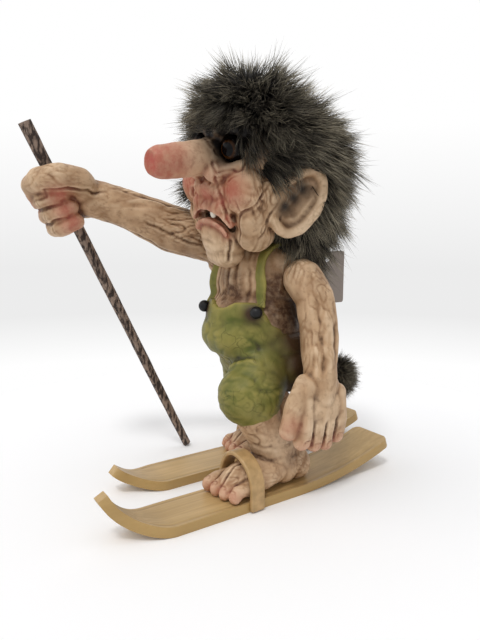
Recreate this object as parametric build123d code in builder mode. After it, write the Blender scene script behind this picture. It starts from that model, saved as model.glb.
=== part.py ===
"""A folk-tale troll on skis, cast over a filling, with a fur wig, glass eyes and a twig for a ski pole.

The figure faces -Y, its left side is +X and it stands on z = 0. Sizes are in millimetres.
"""

import math
import os

from build123d import *

# Skis, from the sole up. The left ski leads and the right one trails.
ski_width = 26.0
ski_thickness = 5.0
ski_gap = 18.0
ski_length = 171.0
ski_tail_length = 70.0
ski_tail_rise = 12.5
ski_tip_width = 8.0
ski_neck_length = 5.0
left_tip_y = -81.0
left_tip_length = 31.0
left_tip_rise = 20.0
right_tip_y = -60.0
right_tip_length = 27.0
right_tip_rise = 10.0

# Binding straps and the screws that hold each foot on its ski
strap_width = 8.0
strap_thickness = 2.4
strap_lift = 0.6
instep_clearance = 0.4
screw_radius = 1.2
screw_head_radius = 2.4
screw_head_height = 1.4
screw_length = 13.0
screw_recess = 0.4
screw_spacing = 16.0
screw_ahead = 26.0

# Legs, feet and toes
left_ankle_y = 21.0
right_ankle_y = 61.0
foot_half_width = 13.0
instep_height = 19.0
toe_radius = 3.7
toe_reach = 9.0
toe_line = 34.0
toe_count = 4
ankle_height = 10.0
shin_radius = 11.0
knee_height = 50.0
knee_half_gap = 20.5
left_knee_y = 3.0
right_knee_y = 31.0
leg_plug = 9.0

# Trousers and bib
hem_height = 41.0
trouser_radius = 17.0
hip_height = 66.0
waist_height = 84.0
bib_height = 101.0
bib_half_width = 20.0
brace_offset = 18.0
brace_width = 7.0
brace_thickness = 1.6
button_radius = 3.2
button_shank_radius = 0.9
button_shank_length = 5.0

# Trunk and its filling
trunk_base = 62.0
chest_y = 20.0
chest_half_width = 26.0
shoulder_height = 119.0
neck_height = 141.0
neck_radius = 9.0
armpit_height = 104.0
shoulder_face = 23.5
arm_clearance = 0.4
skin = 3.0
chest_turn = 12.0

# Head, nose, mouth and ears
head_base = 121.0
head_y = 19.0
head_half_width = 31.0
head_half_depth = 31.0
head_top = 211.0
face_y = -11.0
nose_height = 173.0
nose_length = 32.5
nose_radius = 9.0
mouth_height = 149.0
mouth_half_width = 13.0
mouth_opening = 6.0
mouth_depth = 9.0
tooth_width = 3.4
tooth_length = 4.4
eye_height = 180.0
eye_offset = 12.0
eye_radius = 6.4
eye_proud = 2.4
iris_radius = 3.8
iris_thickness = 0.8
gaze_spread = 0.3
gaze_drop = 0.05
ear_height = 153.0
ear_y = 18.0
ear_half_length = 21.5
ear_half_width = 13.0
ear_thickness = 5.0
ear_lean = 28.0
ear_turn = 28.0
ear_hollow_depth = 2.6
ear_rim = 4.0

# Wig, made as one fur cap with a longer neck piece
wig_height = 178.5
wig_y = 27.0
wig_radius = 44.0
nape_height = 150.0
nape_y = 44.0
nape_radius = 32.0
fringe_height = 198.0
fur_clearance = 0.3

# Carriage of the head, about the neck
head_nod = 5.0
head_tilt = 10.0
head_turn = 4.0

# Arms, hands and fingers
arm_radius = 10.0
wrist_radius = 8.5
left_hand_x = 44.0
left_hand_y = 26.5
left_wrist_height = 66.0
left_palm_height = 49.0
fingertip_height = 27.0
finger_radius = 4.2
finger_count = 4
finger_spacing = 7.4

# Pole, a twig that slides through the right fist
pole_x = -60.0
pole_foot_y = 8.0
pole_lean = 25.3
pole_length = 210.0
pole_foot_radius = 2.6
pole_top_radius = 3.5
pole_lift = 0.4
pole_clearance = 0.15
grip_distance = 169.0
fist_finger_radius = 4.6
fist_roll_radius = 9.0
fist_finger_pitch = 8.2
fist_palm_radius = 14.0

# Tail with its tuft
tail_root_height = 64.0
tail_radius = 3.0
tail_reach = 74.0
tuft_radius = 12.5

# Pegs that key the castings together
neck_peg_radius = 4.0
neck_peg_length = 44.0
shoulder_peg_radius = 3.0
shoulder_peg_length = 20.0

# Swing tag on its wire loop
tag_x = 14.0
tag_width = 25.0
tag_length = 29.0
tag_thickness = 0.8
tag_hole_radius = 2.0
tag_hole_inset = 4.0
loop_wire_radius = 0.5
loop_half_width = 2.2
loop_y = 58.0
loop_height = 123.0
tag_slot_width = 4.0

# Places that follow from the sizes above
stance_x = (ski_gap + ski_width) / 2
deck = ski_thickness
pole_axis = Vector(0, -math.sin(math.radians(pole_lean)), math.cos(math.radians(pole_lean)))
pole_foot = Vector(pole_x, pole_foot_y, pole_lift + pole_foot_radius * math.sin(math.radians(pole_lean)))
grip = pole_foot + pole_axis * grip_distance
neck_y = chest_y + 1
rib_height = (waist_height + shoulder_height + 3) / 2
head_pose = Pos(0, neck_y, neck_height) * Rot(head_nod, head_tilt, head_turn) * Pos(0, -neck_y, -neck_height)
trunk_pose = Pos(0, chest_y, 0) * Rot(0, 0, chest_turn) * Pos(0, -chest_y, 0)
far = 400.0
standing = (Align.CENTER, Align.CENTER, Align.MIN)
hanging = (Align.CENTER, Align.CENTER, Align.MAX)


def stack(rings, grow=0.0):
    """A smooth skin through level ellipses.

    Each ring is (height, centre x, centre y, half width, half depth).
    """
    with BuildPart() as form:
        for height, x, y, wide, deep in rings:
            with BuildSketch(Plane((x, y, height))):
                Ellipse(wide + grow, deep + grow)
        loft()
    return form.part


def limb(stations, side=(0, 1, 0)):
    """A smooth skin through ellipses that stand square to a bent line.

    Each station is (centre, half size along side, half size across it).
    """
    centres = [Vector(*place) for place, _, _ in stations]
    with BuildPart() as form:
        for number, (_, wide, deep) in enumerate(stations):
            behind = centres[max(number - 1, 0)]
            ahead = centres[min(number + 1, len(centres) - 1)]
            with BuildSketch(Plane(origin=centres[number], x_dir=side, z_dir=ahead - behind)):
                Ellipse(wide, deep)
        loft()
    return form.part


def digit(base, tip, base_radius, tip_radius):
    """A finger or toe: a tapered bar with a ball at its tip."""
    along = Vector(*tip) - Vector(*base)
    length = along.length - tip_radius
    with BuildPart(Plane(origin=base, z_dir=along)) as bar:
        Cone(base_radius, tip_radius, length, align=(Align.CENTER, Align.CENTER, Align.MIN))
        with Locations((0, 0, length)):
            Sphere(tip_radius)
    return bar.part


def cut(piece, *tools):
    """The piece with the room that its neighbours take up removed."""
    with BuildPart() as fitted:
        add(piece)
        for tool in tools:
            add(tool, mode=Mode.SUBTRACT)
    return fitted.part


def together(*copies):
    """Several copies of one fastener as one node."""
    with BuildPart() as group:
        for copy in copies:
            add(copy)
    return group.part


def between(start, end, share):
    """The point that lies a share of the way from start to end."""
    return Vector(*start) + (Vector(*end) - Vector(*start)) * share


# Skis


def rise_arc(length, rise):
    """Radius and angle of an arc that leaves a level line and gains a rise over a length."""
    radius = (length**2 + rise**2) / (2 * rise)
    return radius, math.degrees(2 * math.atan2(rise, length))


def ski(middle_x, tip_y, tip_length, tip_rise):
    """A board with a level sole, a turned-up neck and tip, and a tail that lifts off the ground."""
    tail_y = tip_y + ski_length
    flat_front = tip_y + tip_length
    flat_back = tail_y - ski_tail_length
    tail_radius_, tail_angle = rise_arc(ski_tail_length, ski_tail_rise)
    tip_radius, tip_angle = rise_arc(tip_length, tip_rise)
    with BuildPart() as board:
        with BuildSketch(Plane.YZ.offset(middle_x)):
            with BuildLine():
                tail_sole = JernArc((flat_back, 0), (1, 0), tail_radius_, tail_angle)
                tail_deck = JernArc((flat_back, deck), (1, 0), tail_radius_ - deck, tail_angle)
                tip_sole = JernArc((flat_front, 0), (-1, 0), tip_radius, -tip_angle)
                tip_deck = JernArc((flat_front, deck), (-1, 0), tip_radius - deck, -tip_angle)
                Line((flat_front, 0), (flat_back, 0))
                Line((flat_front, deck), (flat_back, deck))
                Line(tail_sole @ 1, tail_deck @ 1)
                Line(tip_sole @ 1, tip_deck @ 1)
            make_face()
        extrude(amount=ski_width, both=True)
        with BuildSketch(Plane.XY):
            with BuildLine():
                neck_y = tip_y + ski_neck_length
                right_side = middle_x - ski_width / 2
                left_side = middle_x + ski_width / 2
                right_neck = (middle_x - ski_tip_width / 2, neck_y)
                left_neck = (middle_x + ski_tip_width / 2, neck_y)
                Line((right_side, flat_front), (right_side, tail_y))
                Line((right_side, tail_y), (left_side, tail_y))
                Line((left_side, tail_y), (left_side, flat_front))
                Spline((left_side, flat_front), left_neck, tangents=((0, -1), (0, -1)))
                ThreePointArc(left_neck, (middle_x, tip_y - ski_tip_width / 4), right_neck)
                Spline((right_side, flat_front), right_neck, tangents=((0, -1), (0, -1)))
            make_face()
        extrude(amount=far, mode=Mode.INTERSECT)
    return board.part


def foot_screws(middle_x, ankle_y):
    """Two countersunk screws, driven up through a ski into the foot."""
    with BuildPart(Plane((middle_x, ankle_y - screw_ahead, screw_recess))) as pair:
        with Locations((0, -screw_spacing / 2, 0), (0, screw_spacing / 2, 0)):
            Cone(screw_head_radius, screw_radius, screw_head_height, align=standing)
            Cylinder(screw_radius, screw_length, align=standing)
    return pair.part


def screw_sinks(middle_x, ankle_y):
    """The recesses below the screw heads."""
    with BuildPart(Plane((middle_x, ankle_y - screw_ahead, 0))) as pair:
        with Locations((0, -screw_spacing / 2, 0), (0, screw_spacing / 2, 0)):
            Cylinder(screw_head_radius, screw_recess, align=standing)
    return pair.part


def binding_strap(middle_x, ankle_y):
    """A stiff band that stands on the ski's two edges and arches over the instep."""
    strap_y = ankle_y - foot_half_width * 2
    half_span = ski_width / 2
    springing = deck + foot_half_width / 3
    crown = deck + instep_height + instep_clearance - springing
    with BuildPart() as band:
        with BuildSketch(Plane.XZ.offset(-strap_y)):
            with Locations((middle_x, springing)):
                Ellipse(half_span + strap_thickness, crown + strap_thickness)
            with Locations((middle_x, strap_lift)):
                outer_span = 2 * (half_span + strap_thickness)
                Rectangle(outer_span, springing - strap_lift, align=(Align.CENTER, Align.MIN))
            with Locations((middle_x, springing)):
                Ellipse(half_span, crown, mode=Mode.SUBTRACT)
            with Locations((middle_x, 0)):
                Rectangle(2 * half_span, springing, align=(Align.CENTER, Align.MIN), mode=Mode.SUBTRACT)
            with Locations((middle_x, strap_lift)):
                Rectangle(far, far, align=(Align.CENTER, Align.MAX), mode=Mode.SUBTRACT)
        extrude(amount=strap_width / 2, both=True)
    return band.part


# Legs


def leg(middle_x, ankle_y, knee):
    """A bare foot with its toes, and a shin that plugs into the trouser leg."""
    ankle = Vector(middle_x, ankle_y, deck + ankle_height)
    wide = foot_half_width
    high = instep_height / 2
    foot_rings = [
        (16.0, 0.50 * wide, 0.85 * high, 0.70 * high),
        (9.0, 0.77 * wide, 0.95 * high, 1.00 * high),
        (-6.0, 0.92 * wide, 1.00 * high, 1.10 * high),
        (-2 * wide, 0.98 * wide, 0.78 * high, high),
        (-31.0, wide, 0.62 * high, 0.82 * high),
        (-36.0, 0.94 * wide, 0.50 * high, 0.60 * high),
    ]
    toe_y = ankle_y - toe_line
    toe_step = 2 * (wide - toe_radius) / (toe_count - 1)
    with BuildPart() as whole:
        for reach, half_width, middle, half_height in foot_rings:
            with BuildSketch(Plane.XZ.offset(-(ankle_y + reach))):
                with Locations((middle_x, deck + middle)):
                    Ellipse(half_width, half_height)
        loft()
        for number in range(toe_count):
            toe_x = middle_x - wide + toe_radius + number * toe_step
            height = deck + 0.9 * toe_radius
            root = (toe_x, toe_y, height)
            tip = (toe_x, toe_y - toe_reach, height)
            add(digit(root, tip, toe_radius, 0.9 * toe_radius))
        shin_top = between(knee, ankle, (knee.Z - hem_height - leg_plug) / (knee.Z - ankle.Z))
        stations = [
            (ankle, 1.05 * shin_radius, shin_radius),
            (between(ankle, shin_top, 0.5), 1.08 * shin_radius, 1.02 * shin_radius),
            (shin_top, 1.10 * shin_radius, 1.05 * shin_radius),
        ]
        add(limb(stations))
        split(bisect_by=Plane.XY.offset(deck), keep=Keep.TOP)
    return whole.part


# Trunk, trousers and braces

trunk_rings = [
    (trunk_base, 0, chest_y + 1, 20.0, 16.0),
    (trunk_base + 12, 0, chest_y, chest_half_width - 1, 24.0),
    (waist_height + 4, 0, chest_y - 1, chest_half_width, 25.0),
    (rib_height, 0, chest_y, chest_half_width - 1, 22.0),
    (shoulder_height - 8, 0, chest_y + 2, chest_half_width, 19.0),
    (shoulder_height, 0, chest_y + 4, chest_half_width + 1, 18.0),
    (shoulder_height + 8, 0, chest_y + 4, chest_half_width - 6, 14.0),
    (shoulder_height + 13, 0, chest_y + 4, 12.0, 10.0),
]


def shoulder_cuts(face, foot):
    """The blocks beyond the flat faces that the arms join."""
    with BuildPart() as blocks:
        for side in (-1, 1):
            with Locations((side * face, chest_y, foot)):
                Box(far, far, far, align=(Align.MIN if side > 0 else Align.MAX, Align.CENTER, Align.MIN))
    return blocks.part


def trunk():
    """The bare chest, back and belly with the neck, cut flat where the arms join."""
    with BuildPart() as body:
        add(stack(trunk_rings))
        with Locations((0, neck_y, shoulder_height)):
            Cylinder(neck_radius, neck_height - shoulder_height, align=standing)
        add(shoulder_cuts(shoulder_face, armpit_height), mode=Mode.SUBTRACT)
    return body.part.moved(trunk_pose)


def trunk_filling():
    """The core that the trunk's skin is cast round."""
    inner = [(z, x, y, wide - skin, deep - skin) for z, x, y, wide, deep in trunk_rings[1:-1]]
    with BuildPart() as core:
        add(stack(inner))
        add(shoulder_cuts(shoulder_face - skin, armpit_height - skin), mode=Mode.SUBTRACT)
    return core.part.moved(trunk_pose)


def trousers(left_knee, right_knee):
    """Seat, belly, bib and two short legs, worn over the trunk."""
    rings = [
        (trunk_base - 5, 0, chest_y + 1, 17.0, 15.0),
        (trunk_base, 0, chest_y, chest_half_width - 2, 22.0),
        (trunk_base + 12, 0, chest_y - 2, chest_half_width + 2.5, 28.5),
        (waist_height + 2, 0, chest_y - 3, chest_half_width + 3, 29.0),
        (bib_height, 0, chest_y - 1, chest_half_width + 1.5, 25.0),
    ]
    with BuildPart() as bib:
        add(stack(rings))
        with Locations((0, chest_y - 12, waist_height)):
            Box(far, far, far, align=(Align.CENTER, Align.MIN, Align.MIN), mode=Mode.SUBTRACT)
        for side in (-1, 1):
            with Locations((side * bib_half_width, 0, waist_height)):
                opening = (Align.MIN if side > 0 else Align.MAX, Align.CENTER, Align.MIN)
                Box(far, far, far, align=opening, mode=Mode.SUBTRACT)
    with BuildPart() as cloth:
        add(bib.part.moved(trunk_pose))
        for knee in (left_knee, right_knee):
            hip = Vector(0.6 * knee.X, chest_y, hip_height + 10)
            r = trouser_radius
            leg_rings = [
                (hem_height, knee.X, knee.Y, 0.72 * r, 0.85 * r),
                (hem_height + 7, knee.X, knee.Y, 0.93 * r, 1.12 * r),
                (knee.Z + 5, 0.98 * knee.X, knee.Y, 0.97 * r, 1.18 * r),
                (hip_height, 0.82 * knee.X, (knee.Y + hip.Y) / 2, 0.93 * r, 1.12 * r),
                (hip.Z, hip.X, hip.Y, 0.75 * r, 0.95 * r),
            ]
            add(stack(leg_rings))
    return cloth.part


def brace(side):
    """One shoulder brace, which lies on the trunk from the bib over the shoulder to the waist."""
    with BuildPart() as band:
        add(stack(trunk_rings, grow=brace_thickness))
        foot = waist_height - 4
        top = shoulder_height + 12
        with Locations((side * brace_offset, chest_y, foot)):
            Box(brace_width, far, top - foot, align=standing, mode=Mode.INTERSECT)
    return band.part.moved(trunk_pose)


def bib_button(side):
    """A black ball-headed pin through the end of a brace."""
    wide = chest_half_width + 1.5
    deep = 25.0
    slope = math.sqrt(1 - (brace_offset / wide) ** 2)
    place = Vector(side * brace_offset, chest_y - 1 - deep * slope, bib_height - button_radius - 1)
    outward = Vector(side * brace_offset / wide**2, -slope / deep, 0)
    with BuildPart(Plane(origin=place, z_dir=outward)) as pin:
        with Locations((0, 0, 0.45 * button_radius)):
            Sphere(button_radius)
        Cylinder(button_shank_radius, button_shank_length, align=hanging)
    return pin.part.moved(trunk_pose)


# Head

face_rings = [
    (head_base, 0, face_y + 8, 6.0, 6.0),
    (head_base + 10, 0, face_y + 13, 14.0, 13.0),
    (head_base + 26, 0, head_y - 9, head_half_width - 8, 21.0),
    (head_base + 42, 0, head_y - 3, head_half_width - 2, 27.5),
    (head_base + 60, 0, head_y, head_half_width, head_half_depth),
    (head_base + 77, 0, head_y + 2, head_half_width - 4, head_half_depth - 3),
    (head_top, 0, head_y + 3, 14.0, 15.0),
]


def eye_place(side):
    """Centre of an eye, set so that it stands proud of the face."""
    slope = math.sqrt(1 - (eye_offset / head_half_width) ** 2)
    return Vector(side * eye_offset, head_y - head_half_depth * slope + eye_radius - eye_proud, eye_height)


def eye(side):
    """A glass eye, as a ball."""
    with BuildPart() as ball:
        with Locations(eye_place(side)):
            Sphere(eye_radius)
    return ball.part.moved(head_pose)


def iris(side):
    """The painted disc behind the front of a glass eye."""
    front = math.sqrt(eye_radius**2 - iris_radius**2) - 2 * iris_thickness
    look = Vector(side * gaze_spread, -1, -gaze_drop)
    with BuildPart(Plane(origin=eye_place(side), z_dir=look)) as disc:
        with Locations((0, 0, front)):
            Cylinder(iris_radius, iris_thickness, align=standing)
    return disc.part.moved(head_pose)


def head():
    """Skull, jaw and long nose, with an open, turned-down mouth."""
    nose_tip = face_y - nose_length
    stations = [
        ((0, face_y + 12, nose_height + 1), 1.15 * nose_radius, 1.2 * nose_radius),
        ((0, face_y - 4, nose_height), 1.0 * nose_radius, 1.08 * nose_radius),
        ((0, face_y - 0.55 * nose_length, nose_height), 0.94 * nose_radius, 0.96 * nose_radius),
        ((0, nose_tip + nose_radius, nose_height), nose_radius, nose_radius),
    ]
    arc_radius = 1.05 * mouth_half_width
    with BuildPart() as casting:
        add(stack(face_rings))
        add(limb(stations, side=(1, 0, 0)))
        with Locations((0, nose_tip + nose_radius, nose_height)):
            Sphere(nose_radius)
        with BuildSketch(Plane.XZ.offset(-face_y + mouth_depth)):
            with BuildLine():
                lips = CenterArc((0, mouth_height - arc_radius), arc_radius, 20, 140)
            SlotArc(lips, mouth_opening)
        extrude(amount=-2 * mouth_depth, mode=Mode.SUBTRACT)
    return casting.part.moved(head_pose)


def head_filling():
    """The core that the head is cast round."""
    core = [(z, x, y + skin, wide - 3 * skin, deep - 3 * skin) for z, x, y, wide, deep in face_rings[2:-1]]
    return stack(core).moved(head_pose)


def tooth():
    """The single tooth, which stands in the upper lip."""
    with BuildPart() as peg:
        with Locations((tooth_width / 2, face_y + 2, mouth_height + mouth_opening / 2 + 1)):
            Box(tooth_width, tooth_width, tooth_length, align=(Align.MIN, Align.MIN, Align.MAX))
        fillet(peg.faces().sort_by(Axis.Z)[0].edges(), tooth_width / 4)
    return peg.part.moved(head_pose)


def ear_plane(side):
    """The plane of an ear's outer face, turned a little towards the front."""
    turn = math.radians(ear_turn)
    origin = (side * (head_half_width + ear_thickness / 2), ear_y, ear_height)
    outward = Vector(side * math.cos(turn), -math.sin(turn), 0)
    back = Vector(side * math.sin(turn), math.cos(turn), 0)
    return Plane(origin=origin, x_dir=back, z_dir=outward)


def ear_outline(side, grow, depth):
    """A slab with an ear's outline, which reaches a depth inwards, or outwards if negative."""
    lean = -ear_lean if side > 0 else ear_lean
    with BuildPart() as slab:
        with BuildSketch(ear_plane(side)):
            with Locations(Rotation(0, 0, lean)):
                Ellipse(ear_half_width + grow, ear_half_length + grow)
        extrude(amount=-depth)
    return slab.part.moved(head_pose)


def ear(side):
    """A large dished ear."""
    with BuildPart() as shell:
        add(ear_outline(side, 0, ear_thickness))
        add(ear_outline(side, -ear_rim, ear_hollow_depth), mode=Mode.SUBTRACT)
    return shell.part


# Wig


def wig():
    """Fur cap and neck piece, open in front for the face."""
    with BuildPart() as fur:
        with Locations((0, wig_y, wig_height)):
            Sphere(wig_radius)
        with Locations((0, nape_y, nape_height)):
            Sphere(nape_radius)
        with BuildSketch(Plane.YZ):
            hairline = [
                (-far, fringe_height),
                (face_y + 8, fringe_height),
                (face_y + 20, ear_height + 18),
                (ear_y + 4, ear_height - 6),
                (chest_y + 16, head_base + 8),
                (chest_y + 16, 0),
                (-far, 0),
            ]
            with BuildLine():
                Polyline(*hairline, close=True)
            make_face()
        extrude(amount=far, both=True, mode=Mode.SUBTRACT)
    return fur.part.moved(head_pose)


# Arms


def arm_room():
    """The space of the trunk that both arms keep out of: round below, and flat at the shoulders."""
    round_part = chest_half_width + arm_clearance
    with BuildPart() as room:
        with Locations((0, chest_y - arm_clearance, armpit_height)):
            Cylinder(round_part, armpit_height, align=hanging)
        with Locations((0, chest_y, armpit_height)):
            Box(2 * shoulder_face, 2 * round_part, far, align=standing)
    return room.part.moved(trunk_pose)


def left_arm():
    """The hanging arm with an open hand."""
    shoulder = Vector(chest_half_width + 3, chest_y + 3, shoulder_height - 1)
    elbow = Vector(left_hand_x - 4, left_hand_y + 3, (shoulder_height + left_wrist_height) / 2)
    wrist = Vector(left_hand_x - 1, left_hand_y + 1, left_wrist_height)
    palm = Vector(left_hand_x, left_hand_y, left_palm_height)
    stations = [
        (shoulder, 0.95 * arm_radius, 0.95 * arm_radius),
        (between(shoulder, elbow, 0.45), 1.10 * arm_radius, 0.95 * arm_radius),
        (elbow, 1.12 * arm_radius, 0.95 * arm_radius),
        (wrist, 1.15 * wrist_radius, wrist_radius),
        (palm, 1.6 * finger_spacing + finger_radius, 1.5 * finger_radius),
    ]
    first = left_hand_y - finger_spacing * (finger_count - 1) / 2
    thumb_base = palm + Vector(0, -1.2 * finger_spacing, 2 * finger_radius)
    thumb_tip = palm + Vector(-1, -2.6 * finger_spacing, -2.4 * finger_radius)
    with BuildPart() as whole:
        add(limb(stations))
        with Locations(shoulder):
            Sphere(1.04 * arm_radius)
        for number in range(finger_count):
            finger_y = first + number * finger_spacing
            base = (left_hand_x, finger_y, left_palm_height + 4)
            tip = (left_hand_x, finger_y, fingertip_height)
            add(digit(base, tip, 1.05 * finger_radius, 0.9 * finger_radius))
        add(digit(thumb_base, thumb_tip, 1.2 * finger_radius, finger_radius))
    return whole.part


def fist():
    """Four fingers rolled round the pole, as a stack of rings."""
    offsets = [fist_finger_pitch * (number - (finger_count - 1) / 2) for number in range(finger_count)]
    with BuildPart(Plane(origin=grip, z_dir=pole_axis)) as rolls:
        with Locations(*[(0, 0, offset) for offset in offsets]):
            Torus(fist_roll_radius, fist_finger_radius)
        Cylinder(fist_roll_radius, fist_finger_pitch * (finger_count - 1))
    return rolls.part


def pole_bore():
    """The hole through the fist, which clears the pole at its thickest place there."""
    share = (grip_distance + fist_finger_pitch * finger_count / 2) / pole_length
    radius = pole_foot_radius + (pole_top_radius - pole_foot_radius) * share + pole_clearance
    with BuildPart(Plane(origin=grip, z_dir=pole_axis)) as bore:
        Cylinder(radius, pole_length)
    return bore.part


def right_arm():
    """The arm that reaches out, with a fist closed round the pole."""
    shoulder = Vector(-chest_half_width - 1, chest_y - 5, shoulder_height + 11)
    back_of_hand = grip + Vector(0.3 * fist_palm_radius, 0.9 * fist_palm_radius, 0)
    wrist = back_of_hand + Vector(0.25 * fist_palm_radius, 0.9 * fist_palm_radius, -0.15 * fist_palm_radius)
    elbow = between(shoulder, wrist, 0.45) + Vector(-3, 0, -2)
    stations = [
        (shoulder, 1.2 * arm_radius, 1.1 * arm_radius),
        (elbow, 1.35 * arm_radius, 1.2 * arm_radius),
        (wrist, 1.15 * wrist_radius, 1.05 * wrist_radius),
        (back_of_hand, 1.3 * wrist_radius, 1.3 * wrist_radius),
    ]
    with BuildPart() as whole:
        add(limb(stations, side=(0, 0, 1)))
        with Locations(Location(shoulder, (90, 0, 0))):
            Sphere(arm_radius)
        with Locations(back_of_hand):
            Sphere(0.85 * fist_palm_radius)
        add(fist())
        add(pole_bore(), mode=Mode.SUBTRACT)
    return whole.part


def pole():
    """A cut twig that tapers towards the ground."""
    with BuildPart(Plane(origin=pole_foot, z_dir=pole_axis)) as twig:
        Cone(pole_foot_radius, pole_top_radius, pole_length, align=standing)
    return twig.part


# Tail

tail_root = (0, chest_y + 18, tail_root_height)
tail_bend = (3, 0.6 * tail_reach + 12, tail_root_height - 14)
tail_end = (8, tail_reach, tail_root_height - 13)


def tail():
    """A bare round tail that curves down and back."""
    with BuildPart() as rope:
        with BuildLine() as route:
            ThreePointArc(tail_root, tail_bend, tail_end)
        with BuildSketch(Plane(origin=route.line @ 0, z_dir=route.line % 0)):
            Circle(tail_radius)
        sweep()
    return rope.part


def tail_tuft():
    """The fur tuft round the end of the tail."""
    end = Vector(*tail_end)
    along = Vector(0.25, 1, 0.25).normalized()
    shape = [(-1.0, 0.45), (-0.45, 0.85), (0.1, 1.0), (0.65, 0.75), (1.05, 0.3)]
    stations = [(end + along * (step * tuft_radius), r * tuft_radius, r * tuft_radius) for step, r in shape]
    return limb(stations, side=(1, 0, 0))


# Pegs between the castings


def neck_peg():
    """The peg that carries the head on the trunk."""
    with BuildPart() as peg:
        with Locations((0, neck_y - 1, neck_height - 4)):
            Cylinder(neck_peg_radius, neck_peg_length)
    return peg.part


def shoulder_peg(side):
    """The peg that carries an arm on the trunk."""
    seat = Plane(origin=(side * (chest_half_width - 1), chest_y + 3, shoulder_height - 1), z_dir=(1, 0, 0))
    with BuildPart(seat) as peg:
        Cylinder(shoulder_peg_radius, shoulder_peg_length)
    return peg.part.moved(trunk_pose)


# Swing tag


def tag_loop():
    """A wire loop that stands out of the back below the wig and passes through the tag."""
    root_y = chest_y + 14
    bend_y = loop_y - loop_half_width
    with BuildPart() as wire:
        with BuildLine() as route:
            right_x = tag_x - loop_half_width
            left_x = tag_x + loop_half_width
            out = Line((right_x, root_y, loop_height), (right_x, bend_y, loop_height))
            turn = ThreePointArc(out @ 1, (tag_x, loop_y, loop_height), (left_x, bend_y, loop_height))
            Line(turn @ 1, (left_x, root_y, loop_height))
        with BuildSketch(Plane(origin=out @ 0, z_dir=(0, 1, 0))):
            Circle(loop_wire_radius)
        sweep()
    return wire.part


def swing_tag():
    """A plain card with a punched hole, which hangs edge on to the back."""
    hang = loop_height + loop_wire_radius - tag_hole_radius + 0.2
    with BuildPart() as card:
        with BuildSketch(Plane.YZ.offset(tag_x - tag_thickness / 2)):
            with Locations((loop_y, hang + tag_hole_inset)):
                RectangleRounded(tag_width, tag_length, 1.5, align=(Align.CENTER, Align.MAX))
            with Locations((loop_y, hang)):
                Circle(tag_hole_radius, mode=Mode.SUBTRACT)
        extrude(amount=tag_thickness)
    return card.part


def tag_slot():
    """The parting in the fur that the tag swings in."""
    with BuildPart() as parting:
        with Locations((tag_x, loop_y - tag_width, head_base)):
            Box(
                2 * loop_half_width + tag_slot_width,
                far,
                2 * tag_width,
                align=(Align.CENTER, Align.MIN, Align.CENTER),
            )
    return parting.part


# Assembly: each piece gives way to the ones that it is fitted to

left_knee = Vector(knee_half_gap, left_knee_y, knee_height)
right_knee = Vector(-knee_half_gap, right_knee_y, knee_height)

pieces = {}
screws = {1: foot_screws(stance_x, left_ankle_y), -1: foot_screws(-stance_x, right_ankle_y)}
sinks = {1: screw_sinks(stance_x, left_ankle_y), -1: screw_sinks(-stance_x, right_ankle_y)}
pieces["foot_screws"] = together(*screws.values())

left_board = ski(stance_x, left_tip_y, left_tip_length, left_tip_rise)
right_board = ski(-stance_x, right_tip_y, right_tip_length, right_tip_rise)
pieces["ski_left"] = cut(left_board, screws[1], sinks[1])
pieces["ski_right"] = cut(right_board, screws[-1], sinks[-1])
pieces["leg_left"] = cut(leg(stance_x, left_ankle_y, left_knee), left_board, screws[1])
pieces["leg_right"] = cut(leg(-stance_x, right_ankle_y, right_knee), right_board, screws[-1])
straps = {1: binding_strap(stance_x, left_ankle_y), -1: binding_strap(-stance_x, right_ankle_y)}
pieces["binding_strap_left"] = cut(straps[1], left_board, pieces["leg_left"])
pieces["binding_strap_right"] = cut(straps[-1], right_board, pieces["leg_right"])

pegs = [neck_peg(), shoulder_peg(1), shoulder_peg(-1)]
pieces["neck_peg"] = pegs[0]
pieces["shoulder_pegs"] = together(*pegs[1:])
eyes = {1: eye(1), -1: eye(-1)}
irises = {1: iris(1), -1: iris(-1)}
pieces["iris_left"] = irises[1]
pieces["iris_right"] = irises[-1]
pieces["eye_left"] = cut(eyes[1], irises[1])
pieces["eye_right"] = cut(eyes[-1], irises[-1])
pieces["tooth"] = tooth()

solid_head = head()
core_of_head = head_filling()
pieces["head_filling"] = cut(core_of_head, *pegs)
pieces["head"] = cut(solid_head, core_of_head, eyes[1], eyes[-1], pieces["tooth"], *pegs)
pieces["ear_left"] = cut(ear(1), solid_head)
pieces["ear_right"] = cut(ear(-1), solid_head)

solid_trunk = cut(trunk(), solid_head)
core_of_trunk = cut(trunk_filling(), solid_head)
buttons = {1: bib_button(1), -1: bib_button(-1)}
pieces["bib_button_left"] = buttons[1]
pieces["bib_button_right"] = buttons[-1]
pieces["trunk_filling"] = cut(core_of_trunk, *pegs, *buttons.values())
pieces["trunk"] = cut(solid_trunk, core_of_trunk, *pegs, *buttons.values())

solid_tail = tail()
solid_trousers = trousers(left_knee, right_knee)
pieces["tail"] = cut(solid_tail, solid_trunk)
pieces["trousers"] = cut(
    solid_trousers, solid_trunk, solid_tail, pieces["leg_left"], pieces["leg_right"], buttons[1], buttons[-1]
)
pieces["tail_tuft"] = cut(tail_tuft(), solid_tail, solid_trousers)
bands = {1: brace(1), -1: brace(-1)}
pieces["brace_left"] = cut(bands[1], solid_trunk, solid_trousers, solid_head, buttons[1])
pieces["brace_right"] = cut(bands[-1], solid_trunk, solid_trousers, solid_head, buttons[-1])

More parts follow.
